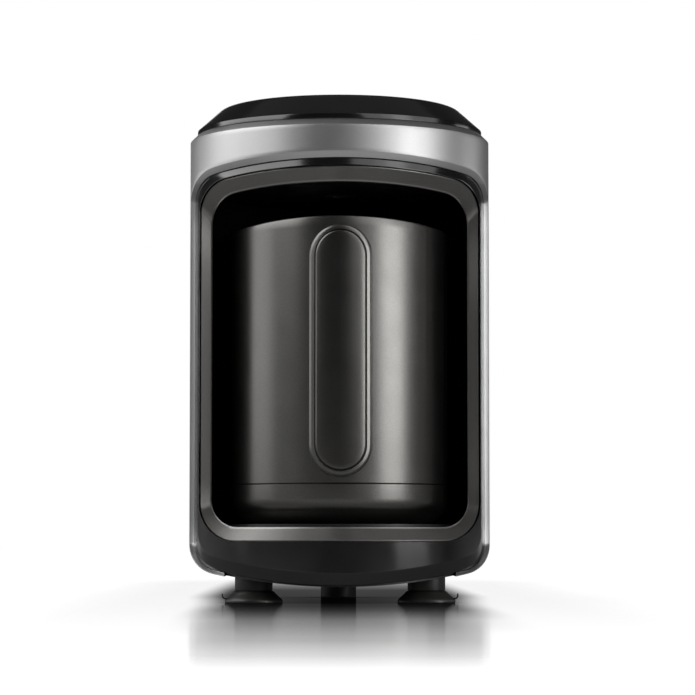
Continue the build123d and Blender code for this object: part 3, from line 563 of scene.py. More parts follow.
# %% [markdown]
# Now the real openings. The silver beside the window is three millimetres wide and thins to half
# of that along the foot, so the window's lower corner is a little tighter than the body's. The
# chamfer tapers in the same way, and is a third wider over the head than beside it.

# %% The window, its chamfer, the mouth and the throat
window_half, window_top, window_corner = 0.076, 0.2246, 0.012
side_rim, foot_rim, foot_taper, head_share = 0.003, 0.0014, 0.42, 1.3
mouth_half, mouth_top, mouth_foot = 0.0729, 0.2207, 0.031
mouth_upper, mouth_lower = 0.015, 0.020
throat_half, throat_top, throat_foot, throat_corner = 0.067, 0.2137, 0.038, 0.014


def window(step, **ending):
    """Window of the silver shell, drawn larger by a step all round."""
    return opening(window_half + step, window_top + step, window_corner + step,
                   belly_corner - (side_rim + foot_rim) / 2 + step, *belly(foot_rim - step),
                   **ending)


def chamfer_line(step):
    """Outer edge of the chamfer: wider over the head, and tapering along the foot."""
    foot = foot_rim - foot_taper * step
    return opening(window_half + step, window_top + head_share * step, window_corner + step,
                   belly_corner - (side_rim - step + foot) / 2, *belly(foot), end=pan_edge,
                   count=pan_points)


def mouth(step):
    """Mouth of the bay, drawn larger by a step all round."""
    return opening(mouth_half + step, mouth_top + step, mouth_upper + step, mouth_lower + step,
                   mouth_foot - step)


def throat(step):
    """Throat of the bay, drawn smaller by a step all round."""
    return opening(throat_half - step, throat_top - step, throat_corner, throat_corner,
                   throat_foot + step)


print("points round each opening:", len(ring(on_round(throat(0.0), 0.07))))

# %% [markdown]
# ## The satin lip round the bay
# Behind the gloss bezel a broad slope leads the eye, and the pot, into the bay. It could be a
# loft between two solids, but two matching outlines on two cylinders say the same thing: rows
# mixed between them make the slope. Its inner edge rolls over into a short wall that goes
# straight back, and that roll is what draws a thin bright line along the bay.

# %% Model the bay lip
lip_radius, throat_radius, lip_back = 0.0762, 0.07077, 0.008
lip_roll, lip_wall, slope_rows = 0.0005, 0.0023, 9
slope = [mix(mouth(-0.0008), throat(0.0), share) for share in spread(0, 1, slope_rows)]
rows = [on_round(mouth(-0.00015), throat_radius - 0.0005, lip_back),
        on_round(mouth(-0.00015), lip_radius - 0.0003),
        on_round(mouth(-0.00024), lip_radius - 0.00009),
        on_round(mouth(-0.00045), lip_radius)]
rows += [on_round(outline, radius)
         for outline, radius in zip(slope, spread(lip_radius, throat_radius, slope_rows))]
rows += [set_back(on_round(throat(lip_roll * sin(turn)), throat_radius),
                  lip_roll * (1.0 - cos(turn))) for turn in spread(pi / 8, pi / 2, 4)]
rows.append(set_back(rows[-1], lip_wall))
bay_lip = lay_rows("lip_moulding", [ring(row) for row in rows], tube=True)
finish_piece(bay_lip, "housing", "bay_lip", lip_satin)

# %% [markdown]
# ## The gloss black bezel
# The bezel frames the bay and runs down into the chin. Its outer border leans back as a narrow
# facet. Over the head and the sides the ring is all facet, and on the chin the facet meets the
# full round face in a crease, which is what catches the light down there. Rows laid from the
# outer edge to the mouth give facet, crease and face in one skin.

# %% Model the bezel
face_radius, bezel_inner = body_radius - 0.0014, body_radius - 0.0036
facet_radius = face_radius - 0.0009
crease_edge = opening(mouth_half + 0.0003, mouth_top + 0.0003, 0.0150, 0.0112, *belly(0.0072))
outer_edge = window(-0.00015)
facet = on_round(window(-0.0003), facet_radius)
crease = on_round(crease_edge, face_radius)
rows = [on_round(outer_edge, bezel_inner + 0.0008), on_round(outer_edge, facet_radius - 0.0002),
        facet]
rows += [mix(facet, crease, share) for share in (0.3, 0.6, 0.9, 0.97, 1.0)]
rows += [on_round(mix(crease_edge, mouth(0.0001), share), face_radius)
         for share in (0.04, 0.2, 0.4, 0.6, 0.8, 1.0)]
rows += [on_round(mouth(0.00003), face_radius - 0.00008),
         on_round(mouth(0.0), face_radius - 0.0002), on_round(mouth(0.0), bezel_inner)]
bezel = lay_rows("bezel_moulding", [ring(row) for row in rows], tube=True)
finish_piece(bezel, "housing", "front_bezel", gloss_black, 35)

# %% [markdown]
# ## Columns round the body
# In plan the body is a half circle, straight sides, round back corners and a flat back. Each
# column of the shell and of the lid is a point to start from and a direction to go outwards, so
# the same columns serve every inset. Moving a column in or out keeps all its neighbours in step.
# Behind the front, the columns of the lower corner stand where the front's corner has its points.

# %% Draw the plan of the body
back_radius = 0.034
corner_x, corner_y = body_radius - back_radius, back_reach - back_radius
side_steps = (0.0, 0.33, 0.67, 1.0)
front_turns = spread(0.0, pi / 2, head_points + corner_points + 1)


def body_foot(inset):
    """Height of the body's lower corner, and its points in to the pan, for a body drawn inset."""
    return foot_line(body_radius - inset, belly_corner - inset, *belly(inset), pan_edge,
                     pan_points)


def rear_columns(inset):
    """Columns of the right half behind the front's half circle, as (start, direction, reach)."""
    columns = [((0.0, corner_y * t), (1.0, 0.0), body_radius) for t in side_steps]
    turns = [atan2(sqrt(max((back_radius - inset)**2 - (x - corner_x)**2, 0.0)), x - corner_x)
             for x, z in body_foot(inset)[1]]
    turns += spread(turns[-1], pi / 2, 4)[1:]
    columns += [((corner_x, corner_y), (cos(a), sin(a)), back_radius) for a in turns]
    return columns + [((corner_x * t, 0.0), (0.0, 1.0), back_reach) for t in (0.67, 0.33, 0.0)]


front_columns = [((0.0, 0.0), (sin(a), -cos(a)), body_radius) for a in front_turns]


def walk(columns, inset, height):
    """Points of some columns at one inset and height."""
    return [(start[0] + way[0] * (reach - inset), axis_y + start[1] + way[1] * (reach - inset),
             height) for start, way, reach in columns]


def plan_ring(inset, height, drawn=0.0):
    """Closed hoop round the body."""
    return ring(walk(front_columns + rear_columns(drawn)[1:], inset, height))


print("columns round the body:", len(plan_ring(0.0, 0.0)))

# %% [markdown]
# ## The silver shell
# The shell is one moulding: a band over the window, two flanks, and a back. Round the window
# runs a chamfer, the brightest line of the whole machine. The front is laid as straps from the
# window's edge out to the edge of the wall. The points are mixed as angles round the axis and
# not as widths, because the flank turns away so fast that even widths would leave it faceted.

# %% The edge of the wall, and rows mixed as angles
wall_steps = [0.0] + spread(0.009, 1.0, side_points - 1)   # a first short step keeps the top crisp


def wall_edge(inset, top):
    """Right half of a wall's edge as (x, z): along its top, down its side, under to the pan."""
    radius = body_radius - inset
    height, foot = body_foot(inset)
    head = [(radius * sin(a), top) for a in front_turns[:-1]]
    return head + [(radius, top + (height - top) * t) for t in wall_steps] + foot


def to_angle(points, radius):
    """Front-view points as (angle, height) on a cylinder."""
    return [(asin(min(x / radius, 1.0)), z) for x, z in points]


def from_angle(points, radius):
    """Back from (angle, height) to places in space."""
    return [(radius * sin(a), axis_y - radius * cos(a), z) for a, z in points]


print("points along the wall's edge:", len(wall_edge(0.0, shell_top)))

# %% [markdown]
# Behind the front, flanks and back are plain columns that end on the belly line, and the belly
# itself is swept from front to back under the corner. Every sheet has its points where the next
# one has them, so that the seams weld.

# %% Lay the flanks with the back, and the belly
def flank_rows(inset, top):
    """Rows of the flanks and the back, from the top down to the belly line."""
    radius, lower = body_radius - inset, belly_corner - inset
    low, arc = belly(inset)
    height, foot = body_foot(inset)

    def bottom(x):
        """Height of the wall's lower end at x."""
        if x <= foot[corner_points][0]:
            return low + arc - sqrt(arc**2 - x**2)
        return height - sqrt(max(lower**2 - (x - radius + lower)**2, 0.0))

    half = walk(rear_columns(inset), inset, 0.0)
    return [[(x, y, top + (bottom(x) - top) * t) for x, y, z in half] for t in wall_steps]


def belly_rows(inset):
    """Rows of the right half of the belly, each from the front to the back."""
    radius = body_radius - inset
    height, foot = body_foot(inset)
    rows = []
    for x, z in [(radius, height)] + foot:
        ahead = -sqrt(max(radius**2 - x**2, 0.0))
        behind = corner_y + sqrt(max((back_radius - inset)**2 - (x - corner_x)**2, 0.0))
        rows.append([(x, axis_y + ahead + (behind - ahead) * t, z) for t in side_steps])
    return rows


# %% [markdown]
# The shell has two such skins, 2.6 mm apart, so its wall is real. A skin hands back its loose
# ends as well: the ends of its straps at the pan, and the rim round the pan's opening.

# %% Lay one skin of the shell
chamfer, shell_wall, strap_rows = 0.0026, 0.0026, 9


def skin(inset, top, window_line, first_rows, count):
    """Front straps, flanks with back, and belly of one skin, with the loose ends of its rim."""
    radius = body_radius - inset
    start, end = to_angle(window_line, radius), to_angle(wall_edge(inset, top), radius)
    rows = first_rows + [from_angle(mix(start, end, t), radius) for t in spread(0.0, 1.0, count)]
    walls, sweep = flank_rows(inset, top), belly_rows(inset)
    sheets = [lay_rows("shell", sheet, hoop=False) for sheet in (
        [strap(row) for row in rows], [row + mirrored(row[-2::-1]) for row in walls], sweep,
        [mirrored(row) for row in sweep])]
    rim = sweep[-1] + [point for point in walls[-1] if point[0] < pan_edge - 1e-7]
    return sheets, [row[-1] for row in rows], rim + mirrored(rim[-2::-1])


def sunk(points, radius, drop):
    """Lay points on a cylinder that shrinks by a drop towards the sides."""
    return [place for x, z in points
            for place in on_round([(x, z)], radius - drop * (abs(x) / window_half)**8)]


shoulder, ceiling_drop = 0.00345, 0.0036
window_edge, window_lip = (window(step, end=pan_edge, count=pan_points) for step in (0.0, 0.00015))
first_rows = [on_round(window_edge, body_radius - shell_wall),
              sunk(window_edge, face_radius - 0.0003, 0.0007),
              sunk(window_lip, face_radius - 0.00005, 0.0008),
              on_round(chamfer_line(chamfer - 0.0002), body_radius - 0.00008)]
outer, outer_ends, outer_rim = skin(0.0, shell_top - shoulder, chamfer_line(chamfer), first_rows,
                                    strap_rows)
inner, inner_ends, inner_rim = skin(shell_wall, shell_top - ceiling_drop, chamfer_line(0.0), [],
                                    len(outer_ends))
print("sheets laid:", len(outer) + len(inner))

# %% [markdown]
# The shoulder under the lid is a slope with two small rounds, laid as hoops of the plan. The
# loose ends of the two skins are then joined by strips of wall thickness, and all of it welds
# into one closed moulding.

# %% Close the shell: shoulder, inner edge, and the two loose rims
wall_top, ledge_inset = shell_top - shoulder, 0.0054
top_rows = [plan_ring(0.0, wall_top), plan_ring(0.00004, wall_top + 0.00018),
            plan_ring(0.0002, wall_top + 0.0004), plan_ring(shoulder - 0.0003, shell_top - 0.00016),
            plan_ring(shoulder, shell_top), plan_ring(ledge_inset, shell_top),
            plan_ring(ledge_inset, shell_top - ceiling_drop),
            plan_ring(shell_wall, shell_top - ceiling_drop, shell_wall)]
parts = outer + inner + [lay_rows("shell", top_rows)]
parts.append(lay_rows("shell", [outer_rim, inner_rim], hoop=False))
for turn in (lambda row: row, mirrored):
    parts.append(lay_rows("shell", [turn(outer_ends), turn(inner_ends)], hoop=False))
shell = weld("shell_moulding", parts, 4e-6)

# %% [markdown]
# The rear cover sits in a shallow step of the shell, over a hole that gives access to the boards.
# Both are cut with a block of rounded outline: the quickest way to a clean edge in a flat wall.

# %% Cut the hole and the step for the rear cover
def rounded_frame(half, low, high, corner, count=8):
    """Right half of a rounded rectangle from its top middle to its bottom middle."""
    points = [(0.0, high)]
    for centre_z, start in ((high - corner, pi / 2), (low + corner, 0.0)):
        points += [(half - corner + corner * cos(a), centre_z + corner * sin(a))
                   for a in spread(start, start - pi / 2, count)]
    return points + [(0.0, low)]


def cut_away(piece, cutter):
    """Cut a closed piece out of another, and throw it away."""
    close_ends(cutter)
    modify(piece, "BOOLEAN", operation="DIFFERENCE", solver="EXACT", object=cutter)
    bpy.data.objects.remove(cutter)


past_back, step_depth = 0.110, 0.0014
for half, low, high, corner, front in ((0.038, 0.024, 0.230, 0.009, 0.090),
                                       (0.044, 0.018, 0.236, 0.015, back_reach - step_depth)):
    cut_away(shell, lay_rows("cutter", [
        ring([(x, axis_y + y, z) for x, z in rounded_frame(half, low, high, corner)])
        for y in (front, past_back)]))
finish_piece(shell, "housing", "outer_shell", silver, 30)

# %% [markdown]
# ## The lid
# The lid has a short upright edge, a straight slope and a flat top that carries the panel. The
# slope rolls into the top with a wide radius, while the knee below it stays crisp. All of it is
# rows of the same plan, moved in and up. A loft would do the same with less control of the roll.

# %% Rows of the lid's edge, slope and roll
lid_low, lid_inset, knee = shell_top + 0.00015, 0.0038, shell_top + 0.00275
lid_run, lid_roll = 0.0132, 0.0032
slope_angle = atan2(lid_top - knee, lid_run)
roll_radius = lid_roll / sin(slope_angle) * (1 + cos(slope_angle))
lid_rows = [plan_ring(lid_inset + inset, height) for inset, height in (
    (0.00175, lid_low), (0.0003, lid_low), (0.00009, lid_low + 0.00009), (0.0, lid_low + 0.0003),
    (0.0, knee - 0.00025), (0.00005, knee), (0.0003, knee + 0.00026))]
for share in (0.35, 0.7):
    reach = (lid_run - lid_roll * cos(slope_angle)) * share
    lid_rows.append(plan_ring(lid_inset + reach, knee + reach * (lid_top - knee) / lid_run))
for turn in spread(slope_angle, 0.0, 9):
    lid_rows.append(plan_ring(lid_inset + lid_run + lid_roll - roll_radius * sin(turn),
                              lid_top - roll_radius * (1 - cos(turn))))
print("slope of the lid:", round(slope_angle * 180 / pi, 1), "degrees")

# %% [markdown]
# The panel lies flush in a recess of the top, round in front and straight behind. Its outline has
# as many points as the plan, so the flat top is just the strip between the two. The inside
# follows the outside at the moulding's thickness and ends over the shell's ledge.

# %% Sink the panel's recess and turn under to the inside
panel_radius, panel_back, panel_depth = 0.05415, 0.00785, 0.0030
swing = atan2(sqrt(panel_radius**2 - panel_back**2), panel_back)
rear_count = len(rear_columns(0.0))
recess = [(panel_radius * sin(a), axis_y - panel_radius * cos(a))
          for a in spread(0.0, swing, len(front_turns))]
recess += [(x, axis_y - panel_back)
           for x in spread(panel_radius * sin(swing), 0.0, rear_count)[1:]]
for height in (lid_top, lid_top - panel_depth):
    lid_rows.append(ring([(x, y, height) for x, y in recess]))
lid_wall, skirt_inset, skirt_low = 0.0030, 0.00715, shell_top - 0.0040
inner_knee = knee - 0.00135
inner_reach = lid_run * (lid_top - lid_wall - inner_knee) / (lid_top - knee)
lid_rows += [plan_ring(lid_inset + lid_wall + inner_reach, lid_top - lid_wall),
             plan_ring(skirt_inset, inner_knee + 0.0003), plan_ring(skirt_inset, skirt_low),
             plan_ring(0.00555, skirt_low)]
lid = lay_rows("lid_moulding", lid_rows, tube=True)
finish_piece(lid, "housing", "top_lid", gloss_black, 22)

# %% [markdown]
# ## The push buttons
# Five round keys stand half a millimetre out of the panel, each gently dished for a fingertip.
# Under the panel each has a flange that keeps it from falling out, and a stem that reaches its
# switch. A turned profile is the natural way: rows of circles from the stem up over the rim and
# down into the dish.

# %% Turn a profile, and draw a key's
def turned(name, profile, centre, count=96, tube=False):
    """Piece of rotation about an upright axis from (radius, height) pairs."""
    turns = [tau * i / count for i in range(count)]
    return lay_rows(name, [[(centre[0] + radius * cos(a), centre[1] + radius * sin(a), height)
                            for a in turns] for radius, height in profile], tube=tube)


key_stem, key_flange, flange_wall, key_height = 0.002, 0.0014, 0.0013, 0.0038
key_edge, key_dish = 0.0005, 0.0006


def key_profile(low, high, radius):
    """Stem, flange, wall, rounded rim and dish."""
    flange_top = high - key_height
    profile = [(0.0, low), (key_stem, low), (key_stem, flange_top - flange_wall),
               (radius + key_flange, flange_top - flange_wall), (radius + key_flange, flange_top),
               (radius, flange_top), (radius, high - key_edge)]
    profile += arc_points(radius - key_edge, high - key_edge, key_edge, 15, 90, 5)
    return profile + [(radius * s, high - key_dish * (1 - s * s)) for s in (0.8, 0.6, 0.4, 0.2, 0)]


# %% [markdown]
# The start key is larger than the other four. Those are one shape, so the first is turned and the
# rest are copies moved to their places in edit mode. Each copy owns its mesh, and its object stays
# at the origin.

# %% Model the keys
for kind in ("start", "one_cup", "two_cup", "milk", "slow_brew"):
    key_low, key_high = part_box(kind + "_button")
    centre = (key_low + key_high) / 2
    if kind in ("start", "one_cup"):
        radius = key_high.x - centre.x - key_flange
        key = turned("key", key_profile(key_low.z, key_high.z, radius), centre)
        pattern, pattern_centre = key, centre
    else:
        alone(pattern)
        bpy.ops.object.duplicate(linked=False)
        key = bpy.context.object
        shift = centre - pattern_centre
        bpy.ops.object.mode_set(mode="EDIT")
        bpy.ops.mesh.select_all(action="SELECT")
        bpy.ops.transform.translate(value=(shift.x, shift.y, 0.0))
        bpy.ops.object.mode_set(mode="OBJECT")
    key.name = kind + "_button_cap"
    finish_piece(key, kind + "_key", kind + "_button", button_grey)

# %% [markdown]
# ## The pot
# The pot is a plain cylinder to the eye, and all its character is in the rim: it arches gently
# from spout to spout, and each spout swells out of the wall as a small beak. The columns stand
# closer together where the beaks are: a degree apart there, and three degrees elsewhere.

# %% The pot's rim and its beaks
rim_arch, spout_rise, spout_depth = 0.350, 0.0055, 0.014
beak_turn = radians(11.1)
turns = []
for middle in (0.0, pi):
    turns += [middle + radians(d) for d in range(-13, 14)]
    turns += [middle + radians(d) for d in range(16, 165, 3)]


def rim_height(turn):
    """The rim follows a wide arch as seen from the front."""
    return pot_top - rim_arch + sqrt(rim_arch**2 - (pot_radius * cos(turn))**2)


spout_foot = rim_height(0.0) - spout_depth


def pot_reach(turn, height, inward=0.0):
    """Radius of the pot's outside, with the beaks."""
    off = min(abs(turn), abs(turn - pi)) / beak_turn
    swell = max(0.0, min(1.0, (height - spout_foot) / spout_depth))
    return pot_radius - inward + spout_rise * swell * max(0.0, 1.0 - off)**1.3


def pot_row(inward, height=None, drop=0.0):
    """Hoop of the pot's wall at a height, or at a distance under the rim."""
    row = []
    for turn in turns:
        z = rim_height(turn) - drop if height is None else height
        reach = pot_reach(turn, z, inward)
        row.append((reach * cos(turn), axis_y + reach * sin(turn), z))
    return row


print("columns round the pot:", len(turns))

# %% [markdown]
# The rows go up the outside, over a rounded rim and down the inside to the ledge that carries the
# steel cup. Between the foot of the spouts and the rim they are mixed, so that the beaks grow
# evenly.

# %% Model the pot's wall
pot_wall, rim_edge = 0.0024, 0.0009
ledge, ledge_reach, ledge_thick = 0.1834, 0.0061, 0.003
rows = [pot_row(0.0003, pot_foot), pot_row(0.0, pot_foot + 0.0003)]
rows += [pot_row(0.0, z) for z in (0.09, 0.12, 0.15, 0.172, spout_foot)]
rows += [mix(pot_row(0.0, spout_foot), pot_row(0.0, drop=rim_edge), t)
         for t in (0.25, 0.5, 0.75, 1)]
rows += [pot_row(inward, drop=drop) for inward, drop in (
    (0.00012, 0.00045), (0.0004, 0.00013), (0.0008, 0.0), (0.0016, 0.0), (0.002, 0.00013),
    (0.0023, 0.00045), (pot_wall, rim_edge))]
rows += [pot_row(inward, height) for inward, height in (
    (pot_wall, 0.1858), (pot_wall, ledge), (ledge_reach, ledge),
    (ledge_reach, ledge - ledge_thick), (pot_wall, ledge - ledge_thick - 0.0001),
    (pot_wall, pot_foot))]
pot = lay_rows("pot_wall", rows, tube=True)
finish_piece(pot, "pot", "pot_body", satin_charcoal)

# %% [markdown]
# The base cap closes the pot below a fine seam and rolls under with a wide radius. It is open in
# the middle, where the pot's connector comes through, so its profile closes on itself.

# %% Turn the base cap
axis = (0.0, axis_y)
cap_foot, cap_top, cap_corner, cap_bore, cap_seam = cap_low.z, cap_high.z, 0.013, 0.018, 0.0003
profile = [(cap_bore, cap_foot), (pot_radius - cap_corner, cap_foot)]
profile += arc_points(pot_radius - cap_corner, cap_foot + cap_corner, cap_corner, -82, 0, 14)
profile += [(pot_radius, cap_top - cap_seam), (pot_radius - cap_seam, cap_top),
            (pot_radius - pot_wall, cap_top), (pot_radius - pot_wall, cap_foot + cap_corner)]
profile += arc_points(pot_radius - cap_corner, cap_foot + cap_corner, cap_corner - pot_wall,
                      -10, -90, 8)
profile += [(cap_bore, cap_foot + pot_wall)]
base_cap = turned("pot_cap", profile, axis, 144, tube=True)
finish_piece(base_cap, "pot", "pot_base_cap", satin_charcoal)

# %% [markdown]
# The steel cup hangs inside by its flange, with a round bottom that a spoon can reach. It has an
# outside and an inside, a millimetre apart.

# %% Turn the steel cup
cup_low, cup_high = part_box("pot_cup")
cup_foot, cup_top, cup_reach = cup_low.z, cup_high.z, cup_high.x
cup_radius, cup_corner, cup_wall = 0.050, 0.012, 0.001
profile = [(0.0, cup_foot), (cup_radius - cup_corner, cup_foot)]
profile += arc_points(cup_radius - cup_corner, cup_foot + cup_corner, cup_corner, -82, 0, 10)
profile += [(cup_radius, cup_top - cup_wall), (cup_reach, cup_top - cup_wall),
            (cup_reach, cup_top - 0.0002), (cup_reach - 0.0002, cup_top), (cup_radius, cup_top),
            (cup_radius - 0.0005, cup_top - 0.0002), (cup_radius - cup_wall, cup_top - 0.0008)]
profile += arc_points(cup_radius - cup_corner, cup_foot + cup_corner, cup_corner - cup_wall,
                      0, -82, 10)
profile += [(cup_radius - cup_corner, cup_foot + cup_wall), (0.0, cup_foot + cup_wall)]
cup = turned("pot_cup_skin", profile, axis, 144)
finish_piece(cup, "pot", "pot_cup", steel)

# %% [markdown]
# ## The handle
# From the front the handle is a long pill set in a band. Both are crowned across their width,
# which spreads the light on them into one wide soft highlight. Both are hoops of one stadium
# outline, a straight slot with round ends. A hoop can lie flat at one depth or bend over the
# crown, so no bevel has to be asked for afterwards.

# %% Draw a stadium and crown its face
crown_radius = 0.030
handle_half, handle_foot, handle_top = handle_high.x, handle_low.z, handle_high.z
grip_front = axis_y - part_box("handle_grip")[0].y
frame_front = grip_front - 0.0012


def stadium(inset, count=20):
    """Right half of the handle's front view, drawn inset, from its top to its foot."""
    half = handle_half - inset
    low, high = handle_foot + handle_half, handle_top - handle_half
    right = [(half * sin(a), high + half * cos(a)) for a in spread(0.0, pi / 2, count)]
    right += [(half, z) for z in spread(high, low, 9)[1:-1]]
    right += [(half * cos(a), low - half * sin(a)) for a in spread(0.0, pi / 2, count)]
    return right


def crowned(inset, reach, sink=0.0):
    """Stadium hoop on a crowned face whose middle is at a reach in front of the axis."""
    return ring([(x, axis_y - reach + sink + x**2 / (2 * crown_radius), z)
                 for x, z in stadium(inset)])


def flat_hoop(inset, reach):
    """Stadium hoop at one depth."""
    return ring([(x, axis_y - reach, z) for x, z in stadium(inset)])


print("handle stands out (mm):", round(1000 * (grip_front - pot_radius), 1))

# %% [markdown]
# The band is laid from the pot's wall forwards, round the edge, over the narrow face and down
# into the recess for the grip. Its first hoops lie on the pot's own cylinder, so it meets the
# wall without a gap.

# %% Lay the handle's band
wall_gap = pot_radius + 0.00005
recess_inset, recess_depth, band_edge = 0.0028, 0.0034, 0.0016
recess_floor = frame_front - recess_depth
rows = [ring(on_round(stadium(share * handle_half), wall_gap)) for share in (0.999, 0.6, 0.3, 0.0)]
rows += [flat_hoop(0.0, wall_gap + 0.008)]
for turn in spread(0.0, pi / 2, 7):
    rows.append(crowned(band_edge * (1 - cos(turn)), frame_front, band_edge * (1 - sin(turn))))
rows += [crowned(recess_inset - 0.0002, frame_front), crowned(recess_inset, frame_front, 0.0002),
         flat_hoop(recess_inset, recess_floor)]
rows += [flat_hoop(share * handle_half, recess_floor) for share in (0.5, 0.999)]
handle = lay_rows("handle_band", rows)
close_ends(handle)

# %% [markdown]
# The finger gap is cut through afterwards with a block whose ends flare. The flare meets the
# handle's sides at a slant, so the edges of the gap come out bevelled, and fingers are grateful.

# %% Cut the finger gap
gap_front, gap_back = grip_front - 0.013, pot_radius - pot_wall - 0.012
gap_foot, gap_top, gap_corner = handle_foot + 0.019, handle_top - 0.019, 0.006
flare, past_side = 0.0012, 0.02


def gap_outline(grow, x):
    """Side-view outline of the finger gap at one x, grown all round."""
    half = (gap_front - gap_back) / 2 + grow
    middle = axis_y - (gap_front + gap_back) / 2
    frame_half = rounded_frame(half, gap_foot - grow, gap_top + grow, gap_corner + grow)
    right = [(x, middle + y, z) for y, z in frame_half]
    left = [(x, middle - y, z) for y, z in frame_half[-2:0:-1]]
    return right + left


cut_away(handle, lay_rows("cutter", [gap_outline(grow, x) for x, grow in (
    (-past_side, flare), (-handle_half - 0.0001, flare), (-handle_half + flare, 0.0),
    (handle_half - flare, 0.0), (handle_half + 0.0001, flare), (past_side, flare))]))
finish_piece(handle, "pot", "handle_frame", satin_charcoal, 35)

# %% [markdown]
# The grip is a crowned pill that lies in the recess with a fine gap all round, and the gap draws
# the dark line between grip and band. Its edge is a soft quarter round.

# %% Model the grip
grip_inset, soft, grip_foot = 0.0032, 0.0009, recess_floor + 0.00005
rows = [flat_hoop(0.999 * handle_half, grip_foot), flat_hoop(grip_inset, grip_foot)]
for turn in spread(0.0, pi / 2, 7):
    rows.append(crowned(grip_inset + soft * (1 - cos(turn)), grip_front, soft * (1 - sin(turn))))
rows += [crowned(grip_inset + soft + (handle_half - grip_inset - soft) * share, grip_front)
         for share in (0.15, 0.35, 0.6, 0.85, 0.999)]
grip = lay_rows("grip_pill", rows)
close_ends(grip)
finish_piece(grip, "pot", "handle_grip", grip_black)

# %% [markdown]
# ## The feet
# The machine stands on two suction feet in front and a plain round one behind. Each hangs on a
# post that comes down from the belly. The post's top follows the belly, so its last hoops take
# their heights from the belly line.

# %% Model a post
post_edge, post_sides, into_belly, belly_gap = 0.0006, 96, 0.0006, 0.00005


def post(name, node, radius, low):
    """Round post from a height up to the belly, with a softened lower edge."""
    post_low, post_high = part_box(node)
    centre = (post_low + post_high) / 2
    lowest, arc = belly(into_belly)
    turns = [tau * i / post_sides for i in range(post_sides)]
    profile = [(0.0, low), (radius - post_edge, low)]
    profile += arc_points(radius - post_edge, low + post_edge, post_edge, -60, 0, 4)
    rows = [[(centre.x + r * cos(a), centre.y + r * sin(a), z) for a in turns] for r, z in profile]
    for share in (1.0, 0.5, 0.0):
        hoop = [(centre.x + radius * share * cos(a), centre.y + radius * share * sin(a))
                for a in turns]
        rows.append([(x, y, lowest + arc - sqrt(arc**2 - x**2) - belly_gap) for x, y in hoop])
    finish_piece(lay_rows(name, rows), "housing", node, rubber)
    return centre


# %% [markdown]
# The suction cup is a shallow bell with a thin edge, and a tab on its outer side curls up, so that
# a finger can lift the edge and break the seal. The tab is laid as a few flat hoops that lean back
# more and more, and then rounded by subdivision. The rear foot is only a post.

# %% Model the feet
bell = [(0.0, 0.0010), (0.0060, 0.0009), (0.0110, 0.0005), (0.0138, 0.0), (0.0144, 0.0),
        (0.01475, 0.0004), (0.01475, 0.0011), (0.0145, 0.0017), (0.0136, 0.0026),
        (0.0124, 0.0036), (0.0112, 0.0047), (0.0104, 0.0056), (0.0098, 0.00595), (0.0, 0.00595)]
tab_hoops = [(0.0110, 0.0028, 0.0010, 0.0038), (0.0138, 0.0020, 0.0009, 0.0038),
             (0.0151, 0.0021, 0.0008, 0.0037), (0.0158, 0.0028, 0.00075, 0.0035),
             (0.0160, 0.0038, 0.0007, 0.0031), (0.0160, 0.0048, 0.0006, 0.0024)]
tab_root, tab_lean = 0.0138, 0.0020


def tab_row(centre, way, reach, height, thick, width):
    """Flat hoop of a pull tab; it lies down at the bell and stands up at its end."""
    lean = min(1.0, max(0.0, (reach - tab_root) / tab_lean))
    out, up = way * thick / 2 * lean, thick / 2 * (1.2 - lean)
    x = centre.x + way * reach
    return ([(x - out, centre.y + y, height + up) for y in (-width, 0.0, width)]
            + [(x + out, centre.y + y, height - up) for y in (width, 0.0, -width)])


for side, way in (("left", -1), ("right", 1)):
    centre = post(f"{side}_post", f"{side}_foot_post", 0.0096, 0.0060)
    suction_foot = turned(f"{side}_cup", bell, centre, 112)
    tab = lay_rows(f"{side}_tab", [tab_row(centre, way, *hoop) for hoop in tab_hoops])
    close_ends(tab)
    modify(tab, "SUBSURF", levels=2, render_levels=2)
    suction_foot = weld(f"{side}_suction_foot", [suction_foot, tab], 1e-7)
    finish_piece(suction_foot, "housing", f"{side}_suction_cup", rubber)
post("rear_post", "rear_foot", 0.0098, 0.0)

# %% [markdown]
# ## The stage
# A pale floor carries a painted shadow of the machine and a soft reflection of its front, and
# fades into white all round. A plain floor under the lamps would need so much light to be white
# that the machine would be too bright, so the floor's look, its painted shadow too, is worked out
# by nodes instead. Two helpers keep that short: one is a smooth step, the other a piece of
# arithmetic.

# %% Helpers for values worked out by nodes
def spread_between(value, low, high, to_low=0.0, to_high=1.0):
    """Smooth step of a value, in the node tree that is being built."""
    step = tree.nodes.new("ShaderNodeMapRange")
    step.interpolation_type = "SMOOTHSTEP"
    step.inputs["From Min"].default_value, step.inputs["From Max"].default_value = low, high
    step.inputs["To Min"].default_value, step.inputs["To Max"].default_value = to_low, to_high
    tree.links.new(value, step.inputs["Value"])
    return step.outputs["Result"]


def combine(operation, first, second):
    """Maths node in the same tree; the second value is a socket or a number."""
    node = tree.nodes.new("ShaderNodeMath")
    node.operation = operation
    tree.links.new(first, node.inputs[0])
    if isinstance(second, float):
        node.inputs[1].default_value = second
    else:
        tree.links.new(second, node.inputs[1])
    return node.outputs["Value"]
